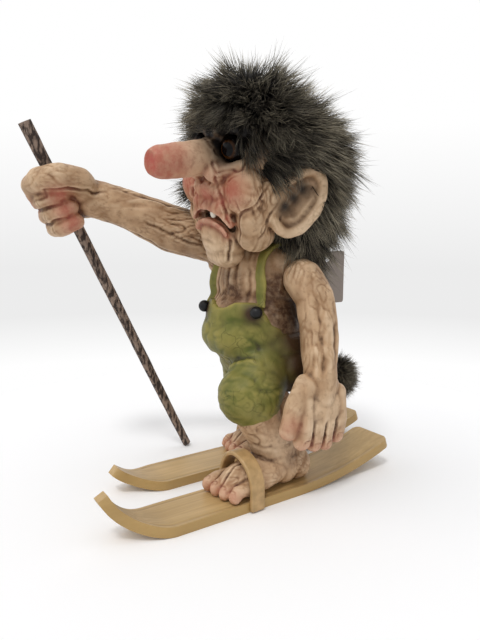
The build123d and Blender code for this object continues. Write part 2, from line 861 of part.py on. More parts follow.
loop = cut(tag_loop(), solid_trunk, bands[1])
pieces["tag_loop"] = loop
trunk_room = arm_room()
pieces["arm_left"] = cut(left_arm(), trunk_room, solid_trousers, pieces["ear_left"], pegs[1])
pieces["arm_right"] = cut(
    right_arm(), trunk_room, solid_trousers, solid_head, pieces["ear_right"], pegs[2]
)
pieces["pole"] = pole()
pieces["swing_tag"] = swing_tag()
reaches = (-wig_radius, head_half_width / 2)
ear_room = [ear_outline(side, fur_clearance, reach) for side in (1, -1) for reach in reaches]
pieces["wig"] = cut(
    wig(),
    solid_head,
    solid_trunk,
    pieces["ear_left"],
    pieces["ear_right"],
    pieces["arm_left"],
    pieces["arm_right"],
    tag_slot(),
    loop,
    *ear_room,
    *bands.values(),
)

# The row frame stands at the middle of the footprint, on the ground
box = Compound(children=[piece.moved(Location()) for piece in pieces.values()]).bounding_box(optimal=True)
to_frame = Location((-(box.min.X + box.max.X) / 2, -(box.min.Y + box.max.Y) / 2, 0))
print("frame shift", to_frame.position, "size", box.size)

os.makedirs("parts", exist_ok=True)
for name, piece in pieces.items():
    placed = piece.moved(to_frame)
    placed.label = name
    export_step(placed, f"parts/{name}.step")
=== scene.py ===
# %% [markdown]
# # A folk-tale troll on skis
# The figure is a cast latex body, painted by hand, with a fur wig, glass eyes and a cut twig for a ski pole.
# The measured frame is loaded first. All the forms below are modelled in millimetres, in the figure's own
# space: it faces -Y, its left hand is +X and the ground is z = 0. Each finished piece is then moved into the frame.

# %% Load the frame
import math

import bpy
import numpy as np
from mathutils import Euler, Matrix, Vector


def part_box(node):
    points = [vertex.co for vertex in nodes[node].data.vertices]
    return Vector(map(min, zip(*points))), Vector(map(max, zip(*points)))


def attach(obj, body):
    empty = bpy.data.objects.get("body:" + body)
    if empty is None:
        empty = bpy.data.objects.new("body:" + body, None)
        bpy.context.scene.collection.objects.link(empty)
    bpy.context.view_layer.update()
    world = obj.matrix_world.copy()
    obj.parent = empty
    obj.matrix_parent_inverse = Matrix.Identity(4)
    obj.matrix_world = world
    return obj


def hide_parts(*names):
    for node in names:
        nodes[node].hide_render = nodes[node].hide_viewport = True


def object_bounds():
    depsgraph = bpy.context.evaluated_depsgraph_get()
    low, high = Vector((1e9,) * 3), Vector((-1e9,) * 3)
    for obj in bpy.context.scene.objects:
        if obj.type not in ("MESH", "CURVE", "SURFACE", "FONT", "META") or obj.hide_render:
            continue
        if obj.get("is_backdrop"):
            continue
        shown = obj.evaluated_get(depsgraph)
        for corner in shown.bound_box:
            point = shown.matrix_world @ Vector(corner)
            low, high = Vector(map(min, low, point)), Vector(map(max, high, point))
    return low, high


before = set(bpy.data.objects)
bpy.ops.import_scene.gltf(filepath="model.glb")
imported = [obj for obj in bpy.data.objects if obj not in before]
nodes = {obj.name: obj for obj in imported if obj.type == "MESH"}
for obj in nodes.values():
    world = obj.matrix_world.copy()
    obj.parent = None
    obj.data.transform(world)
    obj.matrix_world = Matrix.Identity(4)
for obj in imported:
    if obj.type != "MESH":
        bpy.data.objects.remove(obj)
cad_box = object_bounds()
MM = 0.001
SKI_INNER_EDGE, SKI_TAIL_Y = 9, 90
ski_low, ski_high = (Vector(corner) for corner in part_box("ski_left"))
ORIGIN = Vector((ski_low.x - SKI_INNER_EDGE * MM, ski_high.y - SKI_TAIL_Y * MM, 0))
TO_FRAME = Matrix.Translation(ORIGIN) @ Matrix.Scale(MM, 4)
rng = np.random.default_rng(7)
print("figure origin in the frame, mm:", [round(v / MM, 2) for v in ORIGIN])

# %% [markdown]
# ## Carriage
# The head nods, tilts towards the figure's left shoulder and turns a little, all about the neck. It is easier to
# model a head upright and even on both sides, and to pose the finished mesh, so the pose is kept as one matrix.

# %% Poses of the head and the chest
NECK = Vector((0, 21, 141))
CHEST = Vector((0, 20, 0))
turned = Matrix.Rotation(math.radians(5), 4, "X") @ Matrix.Rotation(math.radians(10), 4, "Y")
turned = turned @ Matrix.Rotation(math.radians(4), 4, "Z")
HEAD_POSE = Matrix.Translation(NECK) @ turned @ Matrix.Translation(-NECK)
CHEST_POSE = Matrix.Translation(CHEST) @ Matrix.Rotation(math.radians(12), 4, "Z") @ Matrix.Translation(-CHEST)
print("left eye at", [round(v, 1) for v in HEAD_POSE @ Vector((12, -5.6, 180))])

# %% [markdown]
# ## Working with clay
# Hand-cast figures start as a clay model. The same way works here: balls and tapered rods are placed where the
# muscles, folds and knuckles are, joined, and melted into one skin by a voxel remesh. A smoothing pass takes away
# the steps of the voxels, and creases are then carved along lines.

# %% Helpers for clay
UP = Vector((0, 0, 1))


def only(piece):
    """Selects one object and makes it the active one."""
    bpy.ops.object.select_all(action="DESELECT")
    piece.select_set(True)
    bpy.context.view_layer.objects.active = piece


def ball(centre, radii, turn=(0, 0, 0)):
    """A stretched ball, turned by degrees about X, Y and Z."""
    bpy.ops.mesh.primitive_uv_sphere_add(segments=28, ring_count=18, radius=1, location=centre)
    lump = bpy.context.object
    lump.scale = (radii, radii, radii) if isinstance(radii, (int, float)) else radii
    lump.rotation_euler = Euler([math.radians(angle) for angle in turn])
    return [lump]


def rod(start, end, start_radius, end_radius):
    """A tapered rod with round ends."""
    start, end = Vector(start), Vector(end)
    along = end - start
    bpy.ops.mesh.primitive_cone_add(
        vertices=28,
        radius1=start_radius,
        radius2=end_radius,
        depth=along.length,
        location=(start + end) / 2,
        rotation=UP.rotation_difference(along).to_euler(),
    )
    return [bpy.context.object] + ball(start, start_radius) + ball(end, end_radius)


def chain(*stops):
    """Rods end to end: each stop is (point, radius)."""
    lumps = []
    for (start, first), (end, second) in zip(stops, stops[1:]):
        lumps += rod(start, end, first, second)
    return lumps


def modify(piece, kind, **settings):
    """Adds a modifier with its settings and applies it."""
    only(piece)
    modifier = piece.modifiers.new(kind.title(), kind)
    for key, value in settings.items():
        setattr(modifier, key, value)
    bpy.ops.object.modifier_apply(modifier=modifier.name)


def named(name):
    """The object that was just made, under its name."""
    piece = bpy.context.object
    piece.name = piece.data.name = name
    return piece


def added(name, data):
    """A new object for some data, in the scene."""
    piece = bpy.data.objects.new(name, data)
    bpy.context.scene.collection.objects.link(piece)
    return piece


def join(name, lumps):
    """Joins lumps into one object whose place is in its mesh."""
    bpy.ops.object.select_all(action="DESELECT")
    for lump in lumps:
        lump.select_set(True)
    bpy.context.view_layer.objects.active = lumps[0]
    bpy.ops.object.transform_apply(location=True, rotation=True, scale=True)
    if len(lumps) > 1:
        bpy.ops.object.join()
    return named(name)


def melt(piece, voxel, rounds):
    """Turns overlapping shells into one smooth skin."""
    modify(piece, "REMESH", mode="VOXEL", voxel_size=voxel)
    modify(piece, "SMOOTH", factor=0.5, iterations=rounds)


def cut(piece, tool):
    """Takes the shape of a tool out of a piece."""
    modify(piece, "BOOLEAN", operation="DIFFERENCE", object=tool, solver="EXACT")
    bpy.data.objects.remove(tool)


def clay(name, lumps, voxel, rounds, cutters=()):
    """One skin from lumps, with the cutters' shapes taken out."""
    piece = join(name, lumps)
    melt(piece, voxel, rounds)
    if cutters:
        tool = join(name + "_cutter", list(cutters))
        modify(tool, "REMESH", mode="VOXEL", voxel_size=voxel)
        cut(piece, tool)
        melt(piece, voxel, max(2, rounds // 2))
    return piece


# %% [markdown]
# ## Carving
# A carved line pushes the skin in along a path and raises a soft lip on both sides. Soft folds run where a noise
# field crosses zero, and fade in and out. The paint follows the carving: a thin brown wash and painted shade run into
# every hollow and crease, so the depth of each point below its smoothed surroundings is kept as an attribute.

# %% Helpers for carving


def points(piece, kind="co"):
    """The vertices of a piece as an array, or what else they carry as three numbers."""
    flat = np.empty(len(piece.data.vertices) * 3, np.float32)
    piece.data.vertices.foreach_get(kind, flat)
    return flat.reshape(-1, 3).astype(float)


def normals(piece):
    """The vertex normals of a piece as an array."""
    return points(piece, "normal")


def put(piece, co):
    """Writes vertices back."""
    piece.data.vertices.foreach_set("co", np.ascontiguousarray(co, np.float32).ravel())
    piece.data.update()


def to_path(co, path):
    """Distance from each point to a path of straight runs, and how far along the path it is, from 0 to 1."""
    path = np.asarray(path, float)
    best, share = np.full(len(co), 1e9), np.zeros(len(co))
    for number, (start, end) in enumerate(zip(path, path[1:])):
        run = end - start
        part = np.clip(((co - start) @ run) / max(run @ run, 1e-9), 0, 1)
        away = np.linalg.norm(co - start - part[:, None] * run, axis=1)
        closer = away < best
        best[closer], share[closer] = away[closer], (number + part[closer]) / (len(path) - 1)
    return best, share


creases = {}


def carve(piece, path, width, depth, lip=0.3):
    """Presses an uneven crease into the skin along a path, and remembers its line for the paint."""
    path = np.asarray(path, float)
    steps = np.linspace(0, len(path) - 1, 8 * len(path) - 7)
    path = np.stack([np.interp(steps, np.arange(len(path)), path[:, axis]) for axis in range(3)], 1)
    path = path + 0.9 * np.stack([field(path, 5, seed) for seed in (3, 5, 8)], 1)
    path = [piece.closest_point_on_mesh(Vector(stop))[1] for stop in path]
    co = points(piece)
    away, share = to_path(co, path)
    away = away / width
    fade = np.sqrt(np.sin(np.pi * np.clip(share, 0.01, 0.99))) * (0.75 + 0.6 * field(co, 6, 11))
    push = (lip * np.exp(-((away - 1.9) ** 2)) - np.exp(-(away**2))) * depth * fade
    put(piece, co + normals(piece) * push[:, None])
    # The crease line later darkens the wash: painted shade along the crease.
    line = min(depth / width, 1) * np.exp(-((away / 0.65) ** 2)) * fade
    creases[piece.name] = np.maximum(creases.get(piece.name, 0), line)


SLOPES = rng.normal(size=(256, 3))
SLOPES /= np.linalg.norm(SLOPES, axis=1)[:, None]


def field(co, size, seed):
    """Soft noise between -1 and 1 with features of a size in millimetres, which may differ along X, Y and Z."""
    grid = co / np.asarray(size, float) + seed * 17.31
    cell = np.floor(grid).astype(np.int64)
    part = grid - cell
    ease = part**3 * (part * (part * 6 - 15) + 10)
    total = np.zeros(len(co))
    for corner in np.ndindex(2, 2, 2):
        knot = (cell + corner) * np.array([73856093, 19349663, 83492791])
        pick = (knot[:, 0] ^ knot[:, 1] ^ knot[:, 2]) % 251
        rise = ((part - corner) * SLOPES[pick]).sum(1)
        total += rise * np.where(corner, ease, 1 - ease).prod(1)
    return 1.6 * total


def folds(piece, size, depth, seed, keep=1.0, width=0.16):
    """Soft folds that run along the greatest size and fade in and out over the surface."""
    co = points(piece)
    bent = co + 2 * np.stack([field(co, 14, seed + k) for k in (1, 2, 3)], 1)
    valley = np.exp(-((field(bent, size, seed) / width) ** 2))
    fade = np.clip(0.35 + 1.8 * field(co, 19, seed + 5), 0, 1)
    put(piece, co - normals(piece) * (depth * valley * fade * keep)[:, None])


def lumpy(piece, size, height, seed):
    """Makes a surface gently uneven."""
    co = points(piece)
    put(piece, co + normals(piece) * (height * field(co, size, seed))[:, None])


def blurred(piece, values, rounds):
    """Averages values over neighbouring vertices, several times."""
    ends = np.empty(len(piece.data.edges) * 2, np.int32)
    piece.data.edges.foreach_get("vertices", ends)
    first, second = ends[0::2], ends[1::2]
    total = len(values)
    count = np.maximum(np.bincount(first, minlength=total) + np.bincount(second, minlength=total), 1)
    values = values.reshape(total, -1)
    for _ in range(rounds):
        columns = []
        for column in values.T:
            near = np.bincount(first, column[second], total) + np.bincount(second, column[first], total)
            columns.append(0.4 * column + 0.6 * near / count)
        values = np.stack(columns, 1)
    return values


def note(piece, name, values):
    """Keeps one number for each vertex, for the paint to read."""
    attribute = piece.data.attributes.new(name, "FLOAT", "POINT")
    attribute.data.foreach_set("value", np.ascontiguousarray(values, np.float32))


def hollows(piece):
    """How far each point lies in a hollow and on a crest, from 0 to 1, from a fine and a broad scale."""
    co, out = points(piece), normals(piece)
    fine = ((blurred(piece, co, 6) - co) * out).sum(1)
    broad = ((blurred(piece, co, 45) - co) * out).sum(1)
    hollow = np.clip(fine / 0.22, 0, 1) * 0.75 + np.clip(broad / 1.3, 0, 1) * 0.6
    crest = np.clip(-fine / 0.2, 0, 1) * 0.65 + np.clip(-broad / 1.6, 0, 1) * 0.55
    return np.clip(hollow, 0, 1), np.clip(crest, 0, 1)


def spots(co, places):
    """Soft round patches: each place is (centre, radius, strength)."""
    value = np.zeros(len(co))
    for centre, radius, strength in places:
        away = np.linalg.norm(co - np.asarray(centre, float), axis=1) / radius
        value = np.maximum(value, strength * np.exp(-(away**2)))
    return value


def paint_notes(piece, rosy=(), dark_paint_and_painted_shade=(), stain=(), pale=()):
    """Keeps as attributes a piece's hollows (wash and painted shade), crests (dry-brush and painted highlight) and
    patches.
    """
    co = points(piece)
    hollow, crest = hollows(piece)
    # Hollows, creases and stain patches feed the wash: partly brown paint, partly painted shade. Pale patches join the
    # crests: partly dry-brush, partly painted highlight.
    hollow = hollow + 0.8 * creases.get(piece.name, 0) + spots(co, stain)
    note(piece, "wash_and_painted_shade", np.clip(hollow, 0, 1))
    note(piece, "crest", np.clip(crest + spots(co, pale), 0, 1))
    note(piece, "rosy", np.clip(spots(co, rosy), 0, 1))
    # The dark patches: dark paint and painted shade.
    note(piece, "dark_paint_and_painted_shade", np.clip(spots(co, dark_paint_and_painted_shade), 0, 1))


def dress(piece, material):
    """Gives a piece one finish and no other."""
    piece.data.materials.clear()
    piece.data.materials.append(material)


def deliver(piece, body, slot_name, material, *replaced, pose=None):
    """Moves a piece into the frame, gives it its finish, and fixes it to its body."""
    if pose is not None:
        piece.data.transform(pose)
    piece.data.transform(TO_FRAME)
    piece.data.update()
    only(piece)
    bpy.ops.object.shade_smooth()
    dress(piece, material)
    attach(piece, body)
    if replaced:
        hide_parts(*replaced)
    triangles = sum(len(face.vertices) - 2 for face in piece.data.polygons)
    print(piece.name, "triangles", triangles)
    return piece


# %% [markdown]
# ## Finishes
# Colours are written as sRGB hex values and turned to linear light by one function. Another adds a shader node with
# its settings and links. Pattern sizes are given in millimetres of the real figure.

# %% Helpers for finishes


def linear(code):
    """An sRGB hex colour as linear RGBA."""
    channels = [int(code[i : i + 2], 16) / 255 for i in (1, 3, 5)]
    return [c / 12.92 if c <= 0.04045 else ((c + 0.055) / 1.055) ** 2.4 for c in channels] + [1.0]


def feed(tree, made, sources):
    """Links or sets the inputs of a node."""
    for socket, source in sources.items():
        if isinstance(source, bpy.types.NodeSocket):
            tree.links.new(source, made.inputs[socket])
        else:
            made.inputs[socket].default_value = source


def node(tree, kind, links=None, out=0, **settings):
    """Adds a shader node, sets its properties, links or sets its inputs, and gives back one output."""
    made = tree.nodes.new("ShaderNode" + kind)
    for key, value in settings.items():
        setattr(made, key, value)
    feed(tree, made, links or {})
    return made.outputs[out]


COLOURS = {"data_type": "RGBA", "out": 2}


def finish(name, roughness):
    """A new material: its node tree, its surface shader and its Object coordinates."""
    material = bpy.data.materials.new(name)
    material.use_nodes = True
    tree = material.node_tree
    shader = tree.nodes["Principled BSDF"]
    shader.inputs["Roughness"].default_value = roughness
    place = node(tree, "TexCoord", out="Object")
    return material, tree, shader, place


# %% [markdown]
# ### Painted latex skin
# Cast latex takes a thin matte paint. The raised skin is a warm tan with soft clouds of brown, the crests are brushed
# paler, partly as painted highlight, a dark wash and painted shade stay in the hollows, and nose, cheeks, lips,
# fingertips and toes are rubbed with rose. Dark paint and painted shade surround the eyes. Pores of about a millimetre
# break up the light.

# %% Skin
skin, tree, shader, place = finish("painted_latex_skin", 0.5)
cloud = node(tree, "TexNoise", {"Vector": place, "Scale": 1 / (9 * MM), "Detail": 4.0})
cloud = node(tree, "MapRange", {"Value": cloud, "From Min": 0.36, "From Max": 0.64})
base = node(tree, "Mix", {0: cloud, 6: linear("#9c7856"), 7: linear("#be9a76")}, **COLOURS)
# Paler crests: dry-brushing, with painted highlight where pale patches are added.
crest = node(tree, "Attribute", attribute_name="crest", out="Fac")
base = node(tree, "Mix", {0: crest, 6: base, 7: linear("#dfc3a2")}, **COLOURS)
smear = node(tree, "TexNoise", {"Vector": place, "Scale": 1 / (3.2 * MM), "Detail": 5.0, "Roughness": 0.62})
stain = node(tree, "MapRange", {"Value": smear, "From Min": 0.52, "From Max": 0.74, "To Max": 0.55})
base = node(tree, "Mix", {0: stain, 6: base, 7: linear("#7d5a3a")}, **COLOURS)
# Brown wash and painted shade in the hollows and creases.
hollow = node(tree, "Attribute", attribute_name="wash_and_painted_shade", out="Fac")
patchy = node(tree, "MapRange", {"Value": smear, "From Min": 0.25, "From Max": 0.6, "To Min": 0.45})
hollow = node(tree, "Math", {0: hollow, 1: patchy}, operation="MULTIPLY")
base = node(tree, "Mix", {0: hollow, 6: base, 7: linear("#4a2e19")}, **COLOURS)
rose = node(tree, "Attribute", attribute_name="rosy", out="Fac")
rubbed = node(tree, "MapRange", {"Value": smear, "From Min": 0.2, "From Max": 0.55, "To Min": 0.5})
rose = node(tree, "Math", {0: rose, 1: rubbed}, operation="MULTIPLY")
base = node(tree, "Mix", {0: rose, 6: base, 7: linear("#b05346")}, **COLOURS)
# Near-black dark paint and painted shade, round the eyes and where shade falls.
dark_paint_and_painted_shade = node(tree, "Attribute", attribute_name="dark_paint_and_painted_shade", out="Fac")
base = node(tree, "Mix", {0: dark_paint_and_painted_shade, 6: base, 7: linear("#120d0b")}, **COLOURS)
pores = node(tree, "TexNoise", {"Vector": place, "Scale": 1 / (1.1 * MM), "Detail": 5.0, "Roughness": 0.6})
relief = node(tree, "Bump", {"Height": pores, "Distance": 0.35 * MM, "Strength": 0.55})
feed(tree, shader, {"Base Color": base, "Normal": relief, "IOR": 1.45, "Specular IOR Level": 0.3})
print(skin.name)

# %% [markdown]
# ### Painted latex cloth
# The dungarees are part of the casting and painted moss green, yellower on the bulges as a painted highlight, and
# darker in the folds with wash and painted shade. The paint has cracked here and there into a faint net with meshes of
# about eight millimetres.

# %% Cloth
cloth, tree, shader, place = finish("painted_latex_cloth", 0.48)
cloud = node(tree, "TexNoise", {"Vector": place, "Scale": 1 / (13 * MM), "Detail": 4.0})
cloud = node(tree, "MapRange", {"Value": cloud, "From Min": 0.35, "From Max": 0.65})
base = node(tree, "Mix", {0: cloud, 6: linear("#575e23"), 7: linear("#7f793b")}, **COLOURS)
# Painted highlight: the bulges are painted yellower.
crest = node(tree, "Attribute", attribute_name="crest", out="Fac")
base = node(tree, "Mix", {0: crest, 6: base, 7: linear("#978c4b")}, **COLOURS)
warp = node(tree, "TexNoise", {"Vector": place, "Scale": 1 / (6 * MM), "Detail": 2.0}, out=1)
warp = node(tree, "VectorMath", {0: warp, 1: (0.006, 0.006, 0.006)}, operation="MULTIPLY")
warp = node(tree, "VectorMath", {0: place, 1: warp}, operation="ADD")
net = {"Vector": warp, "Scale": 1 / (8 * MM)}
net = node(tree, "TexVoronoi", net, feature="DISTANCE_TO_EDGE")
crack = node(tree, "MapRange", {"Value": net, "From Min": 0.035, "From Max": 0.0, "To Max": 0.7})
where = node(tree, "TexNoise", {"Vector": place, "Scale": 1 / (10 * MM), "Detail": 2.0})
where = node(tree, "MapRange", {"Value": where, "From Min": 0.48, "From Max": 0.62})
crack = node(tree, "Math", {0: crack, 1: where}, operation="MULTIPLY")
base = node(tree, "Mix", {0: crack, 6: base, 7: linear("#45431c")}, **COLOURS)
smear = node(tree, "TexNoise", {"Vector": place, "Scale": 1 / (3.2 * MM), "Detail": 5.0, "Roughness": 0.62})
patchy = node(tree, "MapRange", {"Value": smear, "From Min": 0.25, "From Max": 0.6, "To Min": 0.5})
# Darker wash and painted shade in the folds.
hollow = node(tree, "Attribute", attribute_name="wash_and_painted_shade", out="Fac")
hollow = node(tree, "Math", {0: hollow, 1: patchy}, operation="MULTIPLY")
base = node(tree, "Mix", {0: hollow, 6: base, 7: linear("#38361a")}, **COLOURS)
# Dark paint and painted shade where the cloth lies in shadow.
dark_paint_and_painted_shade = node(tree, "Attribute", attribute_name="dark_paint_and_painted_shade", out="Fac")
base = node(tree, "Mix", {0: dark_paint_and_painted_shade, 6: base, 7: linear("#3d2a18")}, **COLOURS)
pores = node(tree, "TexNoise", {"Vector": place, "Scale": 1 / (1.3 * MM), "Detail": 5.0, "Roughness": 0.6})
relief = node(tree, "Bump", {"Height": pores, "Distance": 0.35 * MM, "Strength": 0.5})
feed(tree, shader, {"Base Color": base, "Normal": relief, "IOR": 1.45, "Specular IOR Level": 0.3})
print(cloth.name)

# %% [markdown]
# ### Stained board and strap
# The skis are smooth boards with a tan stain and faint long streaks, darker and yellower on the sides, where the
# surface turns away from up and down. Grooves and hollows are darker brown, partly wear and partly painted shade. The
# binding strap has the same tan.

# %% Board and strap
board, tree, shader, place = finish("stained_wood_board", 0.42)
mapped = {"Vector": place, "Scale": (1 / (1.5 * MM), 1 / (45 * MM), 1 / (1.5 * MM))}
mapped = node(tree, "Mapping", mapped)
streak = node(tree, "TexNoise", {"Vector": mapped, "Scale": 1.0, "Detail": 4.0})
streak = node(tree, "MapRange", {"Value": streak, "From Min": 0.35, "From Max": 0.65})
base = node(tree, "Mix", {0: streak, 6: linear("#b0915f"), 7: linear("#c2a270")}, **COLOURS)
cloud = node(tree, "TexNoise", {"Vector": place, "Scale": 1 / (22 * MM), "Detail": 3.0})
cloud = node(tree, "MapRange", {"Value": cloud, "From Min": 0.35, "From Max": 0.7, "To Max": 0.5})
base = node(tree, "Mix", {0: cloud, 6: base, 7: linear("#a4895c")}, **COLOURS)
# Darker, yellower tan wherever the surface turns away from straight up or down.
upright = node(tree, "SeparateXYZ", {0: node(tree, "NewGeometry", out="Normal")}, out="Z")
upright = node(tree, "Math", {0: upright}, operation="ABSOLUTE")
side = node(tree, "MapRange", {"Value": upright, "From Min": 0.75, "From Max": 0.2, "To Max": 0.75})
base = node(tree, "Mix", {0: side, 6: base, 7: linear("#ab8a50")}, **COLOURS)
# Wear and painted shade: darker brown in the grooves and hollows of the board.
dark_marks_and_painted_shade = node(tree, "Attribute", attribute_name="wash_and_painted_shade", out="Fac")
base = node(tree, "Mix", {0: dark_marks_and_painted_shade, 6: base, 7: linear("#5e4523")}, **COLOURS)
relief = node(tree, "Bump", {"Height": streak, "Distance": 0.12 * MM, "Strength": 0.4})
feed(tree, shader, {"Base Color": base, "Normal": relief})

strap, tree, shader, place = finish("tan_leather_strap", 0.45)
cloud = node(tree, "TexNoise", {"Vector": place, "Scale": 1 / (4 * MM), "Detail": 4.0})
cloud = node(tree, "MapRange", {"Value": cloud, "From Min": 0.3, "From Max": 0.7})
base = node(tree, "Mix", {0: cloud, 6: linear("#a38456"), 7: linear("#bf9c6c")}, **COLOURS)
# Wear and painted shade: darker brown in the hollows of the strap.
dark_marks_and_painted_shade = node(tree, "Attribute", attribute_name="wash_and_painted_shade", out="Fac")
base = node(tree, "Mix", {0: dark_marks_and_painted_shade, 6: base, 7: linear("#5e4523")}, **COLOURS)
relief = node(tree, "Bump", {"Height": cloud, "Distance": 0.15 * MM, "Strength": 0.4})
feed(tree, shader, {"Base Color": base, "Normal": relief})
print(board.name, strap.name)

# %% [markdown]
# ### Bark and fur
# The pole is a twig with its bark on, in dark and pale streaks. Its grooves are darker, partly the bark's own colour
# and partly painted shade, and its cut ends are painted dark as shade. The fur has dark roots and paler, olive tips,
# so each hair carries a number that runs from 0 at its root to 1 at its tip, and a tone of its own.

# %% Bark and fur
bark, tree, shader, place = finish("twig_bark", 0.8)
mapped = {"Vector": place, "Scale": (1 / (1.5 * MM), 1 / (1.5 * MM), 1 / (5 * MM)), "Rotation": (-0.44, 0, 0)}
mapped = node(tree, "Mapping", mapped)
pale = node(tree, "TexNoise", {"Vector": mapped, "Scale": 1.0, "Detail": 5.0})
pale = node(tree, "MapRange", {"Value": pale, "From Min": 0.44, "From Max": 0.56})
base = node(tree, "Mix", {0: pale, 6: linear("#33261f"), 7: linear("#937f71")}, **COLOURS)
# Painted shade, with the bark's own dark grooves: darker in the grooves and on the cut ends.
dark_marks_and_painted_shade = node(tree, "Attribute", attribute_name="wash_and_painted_shade", out="Fac")
base = node(tree, "Mix", {0: dark_marks_and_painted_shade, 6: base, 7: linear("#1c1512")}, **COLOURS)
rough = node(tree, "TexNoise", {"Vector": place, "Scale": 1 / (0.7 * MM), "Detail": 5.0})
relief = node(tree, "Bump", {"Height": rough, "Distance": 0.3 * MM, "Strength": 0.9})
feed(tree, shader, {"Base Color": base, "Normal": relief})

fur, tree, shader, place = finish("long_pile_fur", 0.5)
along = node(tree, "Attribute", attribute_name="along", out="Fac")
tone = node(tree, "Attribute", attribute_name="tone", out="Fac")
grown = node(tree, "MapRange", {"Value": along, "From Min": 0.1, "From Max": 0.7})
base = node(tree, "Mix", {0: grown, 6: linear("#080706"), 7: linear("#241f19")}, **COLOURS)
tips = node(tree, "Mix", {0: tone, 6: linear("#27221b"), 7: linear("#d4c8ac")}, **COLOURS)
ends = node(tree, "MapRange", {"Value": along, "From Min": 0.45, "From Max": 0.95})
base = node(tree, "Mix", {0: ends, 6: base, 7: tips}, **COLOURS)
feed(tree, shader, {"Base Color": base, "Specular IOR Level": 0.3})
print(bark.name, fur.name)

# %% [markdown]
# ### Glass eye, ivory and button
# A glass eye is a dome over a painted disc: an amber ring round a wide black pupil, under a coat of clear gloss. The
# ring is drawn by the distance from the axis that the eye looks along, which each vertex keeps as a number.

# %% Eye, ivory and button
eye_glass, tree, shader, place = finish("amber_glass_eye", 0.15)
ring = node(tree, "Attribute", attribute_name="ring", out="Fac")
fleck = node(tree, "TexNoise", {"Vector": place, "Scale": 1 / (0.8 * MM), "Detail": 3.0})
amber = node(tree, "Mix", {0: fleck, 6: linear("#170a03"), 7: linear("#4a2a0c")}, **COLOURS)
pupil = node(tree, "MapRange", {"Value": ring, "From Min": 0.62, "From Max": 0.7})
base = node(tree, "Mix", {0: pupil, 6: linear("#040305"), 7: amber}, **COLOURS)
rim = node(tree, "MapRange", {"Value": ring, "From Min": 0.78, "From Max": 0.95})
base = node(tree, "Mix", {0: rim, 6: base, 7: linear("#0a0605")}, **COLOURS)
gloss = {"Specular IOR Level": 0.0, "Coat Weight": 0.25, "Coat Roughness": 0.03}
feed(tree, shader, {"Base Color": base, **gloss})


def flecked(name, roughness, grain, dark, light, detail=3.0, fine=0.5, **more):
    """A material with two tones in soft flecks, whose size is in millimetres."""
    material, tree, shader, place = finish(name, roughness)
    fleck = {"Vector": place, "Scale": 1 / (grain * MM), "Detail": detail, "Roughness": fine}
    base = {0: node(tree, "TexNoise", fleck), 6: linear(dark), 7: linear(light)}
    feed(tree, shader, {"Base Color": node(tree, "Mix", base, **COLOURS), **more})
    return material


ivory = flecked("ivory_tooth", 0.35, 1.5, "#cfc6b4", "#efe8da")
jet = flecked("black_button", 0.4, 2, "#060608", "#111115", 2.0, **{"Specular IOR Level": 0.3})
print(eye_glass.name, ivory.name, jet.name)

# %% [markdown]
# ### Card, steel, beech and foam
# The tag is a grey-brown card. Screws and wire are zinc-plated steel, the hidden pegs are beech dowels, and the
# fillings are stiff foam. Each is two tones in flecks, so the function from the cell above makes them all.

# %% Card, steel, beech and foam
card = flecked("tag_card", 0.75, 0.9, "#877c75", "#a0948b", 5.0, 0.7)
steel = flecked("zinc_plated_steel", 0.38, 0.8, "#8d8e90", "#b7b8ba", Metallic=1.0)
beech = flecked("beech_peg", 0.6, 1.2, "#c8a676", "#dcc096", 4.0)
foam = flecked("stiff_foam", 0.9, 1.2, "#cfc197", "#e2d7b5", 5.0)
print(card.name, steel.name, beech.name, foam.name)

# %% [markdown]
# ## Skis
# Each ski is a board with a level sole, a tail that lifts off the ground and a tip that narrows to a knob and turns
# up. A grid is laid out as the top face: one direction follows the length, the other the width. A shallow line runs
# just inside each edge. Solidify gives the grid its thickness and a bevel rounds the edges.

# %% Skis
SKI_WIDTH, SKI_THICK, TAIL_LENGTH, TAIL_RISE = 26.0, 5.0, 70.0, 12.5
TIP_WIDTH, NECK_LENGTH, CORNER = 9.5, 4.8, 4
LINE_INSET, LINE_WIDTH, LINE_DEPTH, ROUNDING = 2.3, 0.45, 0.35, 0.97


def face_out(piece):
    """Turns all the faces of a piece outwards."""
    only(piece)
    bpy.ops.object.mode_set(mode="EDIT")
    bpy.ops.mesh.select_all(action="SELECT")
    bpy.ops.mesh.normals_make_consistent(inside=False)
    bpy.ops.object.mode_set(mode="OBJECT")


def lifted(distance, length, rise):
    """Height gained along an arc that leaves the level and gains a rise over a length."""
    radius = (length**2 + rise**2) / (2 * rise)
    return radius - np.sqrt(radius**2 - np.clip(distance, 0, length) ** 2)


